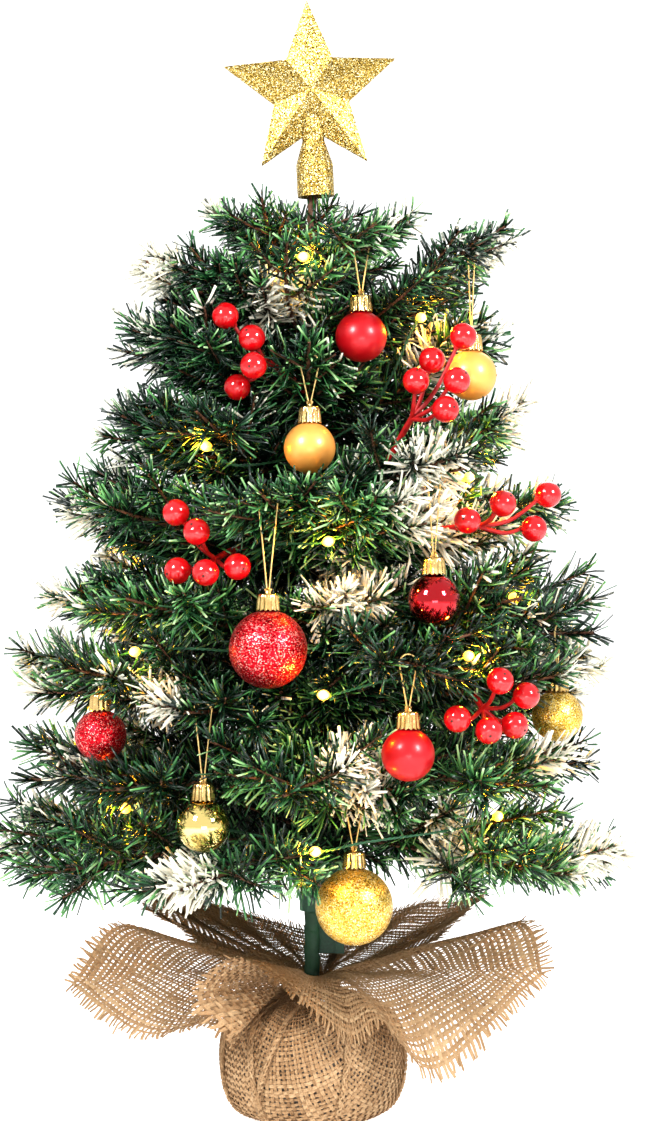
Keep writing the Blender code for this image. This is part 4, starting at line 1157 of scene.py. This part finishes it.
# Each tuck of the bag: its azimuth on the flat cloth, and how it leans as it climbs.
TUCKS = ((-2.75, 1.0), (-2.15, -1.5), (-1.66, 5.0), (-0.85, 1.5), (0.1, -1.0), (1.1, 1.0), (2.1, -1.0))
TUCK_MIDDLE = 0.09  # how far out on the cloth a tuck passes its azimuth
PLEATS = 15
PLEATS_FROM = 0.080  # where the pleats start on the cloth, and how far from the tie they tighten
SQUEEZE = 0.022

# The bag from the middle of its foot to its neck: distance from the axis, height.
BAG = ((0, 0.0008), (0.0285, 0.0008), (0.0418, 0.0060), (0.0480, 0.0165), (0.0506, 0.0328),
       (0.0489, 0.0482), (0.0415, 0.0600), (0.0245, 0.0672), (GATHER_RADIUS, 0.0715),
       (GATHER_RADIUS, GATHER_Z))
# Where the square's edge goes: azimuth on the flat cloth, place of the edge, height of the cloth
# halfway out to it.
EDGE = (
    (5, 0.072, 0.036, 0.095, 0.078), (24, 0.090, 0.062, 0.106, 0.079),
    (45, 0.102, 0.088, 0.115, 0.080), (68, 0.046, 0.084, 0.106, 0.080),
    (92, -0.004, 0.074, 0.098, 0.082), (116, -0.058, 0.088, 0.108, 0.084),
    (135, -0.100, 0.090, 0.121, 0.090), (164, -0.098, 0.060, 0.110, 0.088),
    (188, -0.075, 0.040, 0.098, 0.086), (205, -0.074, 0.016, 0.094, 0.090),
    (217, -0.114, 0.010, 0.107, 0.088), (225, -0.138, -0.020, 0.076, 0.084),
    (235, -0.096, -0.046, 0.050, 0.076), (242, -0.060, -0.050, 0.056, 0.070),
    (248, -0.043, -0.064, 0.049, 0.072), (254, -0.066, -0.062, 0.072, 0.082),
    (261, -0.046, -0.060, 0.097, 0.088), (270, -0.020, -0.060, 0.082, 0.088),
    (279, 0.008, -0.062, 0.056, 0.088), (286, 0.024, -0.064, 0.048, 0.090),
    (292, 0.040, -0.060, 0.058, 0.086), (299, 0.067, -0.070, 0.032, 0.084),
    (307, 0.102, -0.052, 0.056, 0.086), (315, 0.132, -0.030, 0.081, 0.090),
    (322, 0.124, 0.008, 0.106, 0.096), (334, 0.082, 0.012, 0.094, 0.086),
    (348, 0.066, 0.020, 0.090, 0.078),
)

bag = smooth_line(np.array([(r, z, 0) for r, z in BAG]), 200)
bag_gone = np.concatenate([[0], np.cumsum(np.linalg.norm(np.diff(bag, axis=0), axis=1))])
edge_azimuths = np.radians([key[0] for key in EDGE])
edge_table = np.array([key[1:] for key in EDGE])
at_corner = np.array([key[0] % 90 == 45 for key in EDGE])


def edge_at(azimuth):
    """Columns of the edge table on a closed curve, smooth but for the four corners of the square."""
    count = len(EDGE)
    azimuth = azimuth % (2 * pi)
    start = (np.searchsorted(edge_azimuths, azimuth, side="right") - 1) % count
    low, high = edge_azimuths[start], edge_azimuths[(start + 1) % count]
    t = ((azimuth - low) % (2 * pi) / ((high - low) % (2 * pi)))[:, None]
    a, b, c, d = (edge_table[(start + k) % count] for k in (-1, 0, 1, 2))
    leaves = np.where(at_corner[start][:, None], c - b, (c - a) / 2)
    arrives = np.where(at_corner[(start + 1) % count][:, None], c - b, (d - b) / 2)
    return (b * (1 + t**2 * (2 * t - 3)) + c * t**2 * (3 - 2 * t)
            + leaves * t * (1 - t) ** 2 - arrives * t**2 * (1 - t))


def cloth(u, v):
    """Where a point of the flat square goes."""
    reach = np.hypot(u, v)
    azimuth = np.arctan2(v, u)
    full = CLOTH_SIDE / 2 / np.maximum(np.abs(np.cos(azimuth)), np.abs(np.sin(azimuth)))
    neck = bag_gone[-1]
    radius = np.interp(reach, bag_gone, bag[:, 0])
    height = np.interp(reach, bag_gone, bag[:, 1])
    full_azimuth = azimuth
    past = [(azimuth - at - lean * (reach - TUCK_MIDDLE)) / TUCK for at, lean in TUCKS]
    tuck = sum((1 + np.tanh(turns)) / 2 for turns in past)
    tucked = sum(np.cosh(np.clip(turns, -9, 9)) ** -2.0 for turns in past)
    azimuth = (1 + FULLNESS) * azimuth + FULLNESS * pi - 2 * pi * FULLNESS / len(TUCKS) * tuck
    swing = azimuth + 0.10 * np.sin(3 * azimuth + 1) + 0.05 * np.sin(7 * azimuth)
    fold = np.cos(PLEATS * swing)
    rise = np.clip((reach - PLEATS_FROM) / (neck - PLEATS_FROM), 0, 1) ** 1.5
    squeeze = np.clip((reach - neck + SQUEEZE) / SQUEEZE, 0, 1)
    radius = radius + fold * rise * (0.0030 - 0.0018 * squeeze) + 0.0012 * rise * np.cos(5 * azimuth + 2)
    radius = radius + 0.0016 * tucked * np.clip(height / 0.02, 0, 1) * (reach < neck)
    on_bag = np.stack([radius * np.cos(azimuth), radius * np.sin(azimuth), height], -1)

    t = np.clip((reach - neck) / (full - neck), 0, 1.2)[:, None]
    keys = edge_at(full_azimuth)
    tight = (GATHER_RADIUS + 0.0012 * fold + 0.0012 * np.cos(5 * azimuth + 2))[:, None]
    start = np.concatenate([tight * np.cos(azimuth)[:, None], tight * np.sin(azimuth)[:, None],
                            np.full((len(u), 1), GATHER_Z)], 1)
    end = keys[:, :3]
    middle = np.concatenate([end[:, :2] * 0.42 + start[:, :2] * 0.30, keys[:, 3:]], 1)
    spread = (1 - t) ** 2 * start + 2 * t * (1 - t) * middle + t**2 * end
    wave = (0.0042 * fold[:, None] * np.exp(-t / 0.35) * np.minimum(t * 6, 1)
            + 0.0034 * np.sin(8 * azimuth + 0.6)[:, None] * t * (1.3 - t)
            + 0.0016 * np.sin(19 * azimuth + 4 * t[:, 0])[:, None] * t * (1.2 - t))
    spread[:, 2:] += wave
    return np.where((reach < neck)[:, None], on_bag, spread)


def yarns(direction, made):
    """All the yarns that run one way, each an arched strip three points wide."""
    half = CLOTH_SIDE / 2
    count = int(CLOTH_SIDE / YARN_PITCH)
    places = (np.arange(count) - (count - 1) / 2) * YARN_PITCH
    points, tones, faces = [], [], []
    for j in np.nonzero(np.abs(places) < half - FRINGE)[0]:
        along = places.copy()
        along[0], along[-1] = (end * (half - rng.uniform(0, 0.0025)) for end in (-1, 1))
        drift = np.convolve(rng.normal(0, 1, count + 8), np.ones(9) / 9, "valid")
        other = places[j] + 0.0008 * drift + rng.normal(0, 0.0001)
        loose = np.clip((np.abs(along) - (half - FRINGE)) / FRINGE, 0, 1)
        other = (other + loose * rng.normal(0, 0.0012) * np.sign(along)
                 + loose * rng.normal(0, 0.0005, count))
        step = 0.0004
        if direction:
            here, across = cloth(other, along), cloth(other + step, along) - cloth(other - step, along)
        else:
            here, across = cloth(along, other), cloth(along, other + step) - cloth(along, other - step)
        squeezed = np.linalg.norm(across, axis=1) / (2 * step)
        normal = unit(np.cross(np.gradient(here, axis=0), across)) * (-1 if direction else 1)
        over = (-1.0) ** (np.arange(count) + j + direction) * YARN_LIFT
        over = over * (1 - loose) * np.clip(squeezed, 0.3, 1)
        curl = rng.normal(0, 0.0014, 2)
        here = here + normal * (over + loose**2 * np.where(along < 0, *curl))[:, None]
        here[:, 2] = np.maximum(here[:, 2] - 0.0010 * loose**2, 0.0007)
        slub = 1 + 0.9 * np.convolve(rng.normal(0, 0.35, count + 4), np.ones(5) / 5, "valid")
        width = YARN_WIDTH / 2 * np.clip(slub, 0.6, 1.4)
        width = width * np.clip(squeezed, 0.35, 1.50) ** 1.3 * (1 - 0.35 * loose)
        side = unit(across) * width[:, None]
        points.append(np.stack([here - side, here + normal * YARN_ARCH, here + side], 1).reshape(-1, 3))
        tones.append(np.repeat(np.clip(0.5 + rng.normal(0, 0.16) + 0.5 * (slub - 1), 0, 1), 3))
        row = made + 3 * np.arange(count - 1)[:, None]
        k = np.arange(2)[None]
        quads = np.stack([row + k, row + 3 + k, row + 4 + k, row + 1 + k], -1).reshape(-1, 4)
        faces.append(quads[:, ::-1] if direction else quads)
        made += 3 * count
    return points, faces, tones


finish = Finish("burlap")
yarn_tone = finish.stored("tone")
fibre = finish.grain(0.00035, 4)
soil = finish.grain(0.020, 3)
burlap = finish.surface(
    Base_Color=finish.ramp(fibre * 0.55 + yarn_tone * 0.45 + soil * 0.2 - 0.1,
                           (0.15, (0.17, 0.090, 0.038)), (0.45, (0.38, 0.235, 0.122)),
                           (0.85, (0.62, 0.435, 0.26))),
    Roughness=0.86 + 0.1 * fibre, Normal=finish.bump(fibre, 0.0004))
rng = np.random.default_rng(70)
points, faces, tones = yarns(0, 0)
more = yarns(1, sum(len(part) for part in points))
cloth_piece = piece("burlap_cloth", np.concatenate(points + more[0]), faces + more[1], burlap, "tree",
                    smooth=True, tone=np.concatenate(tones + more[2]))
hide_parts("burlap_wrap")
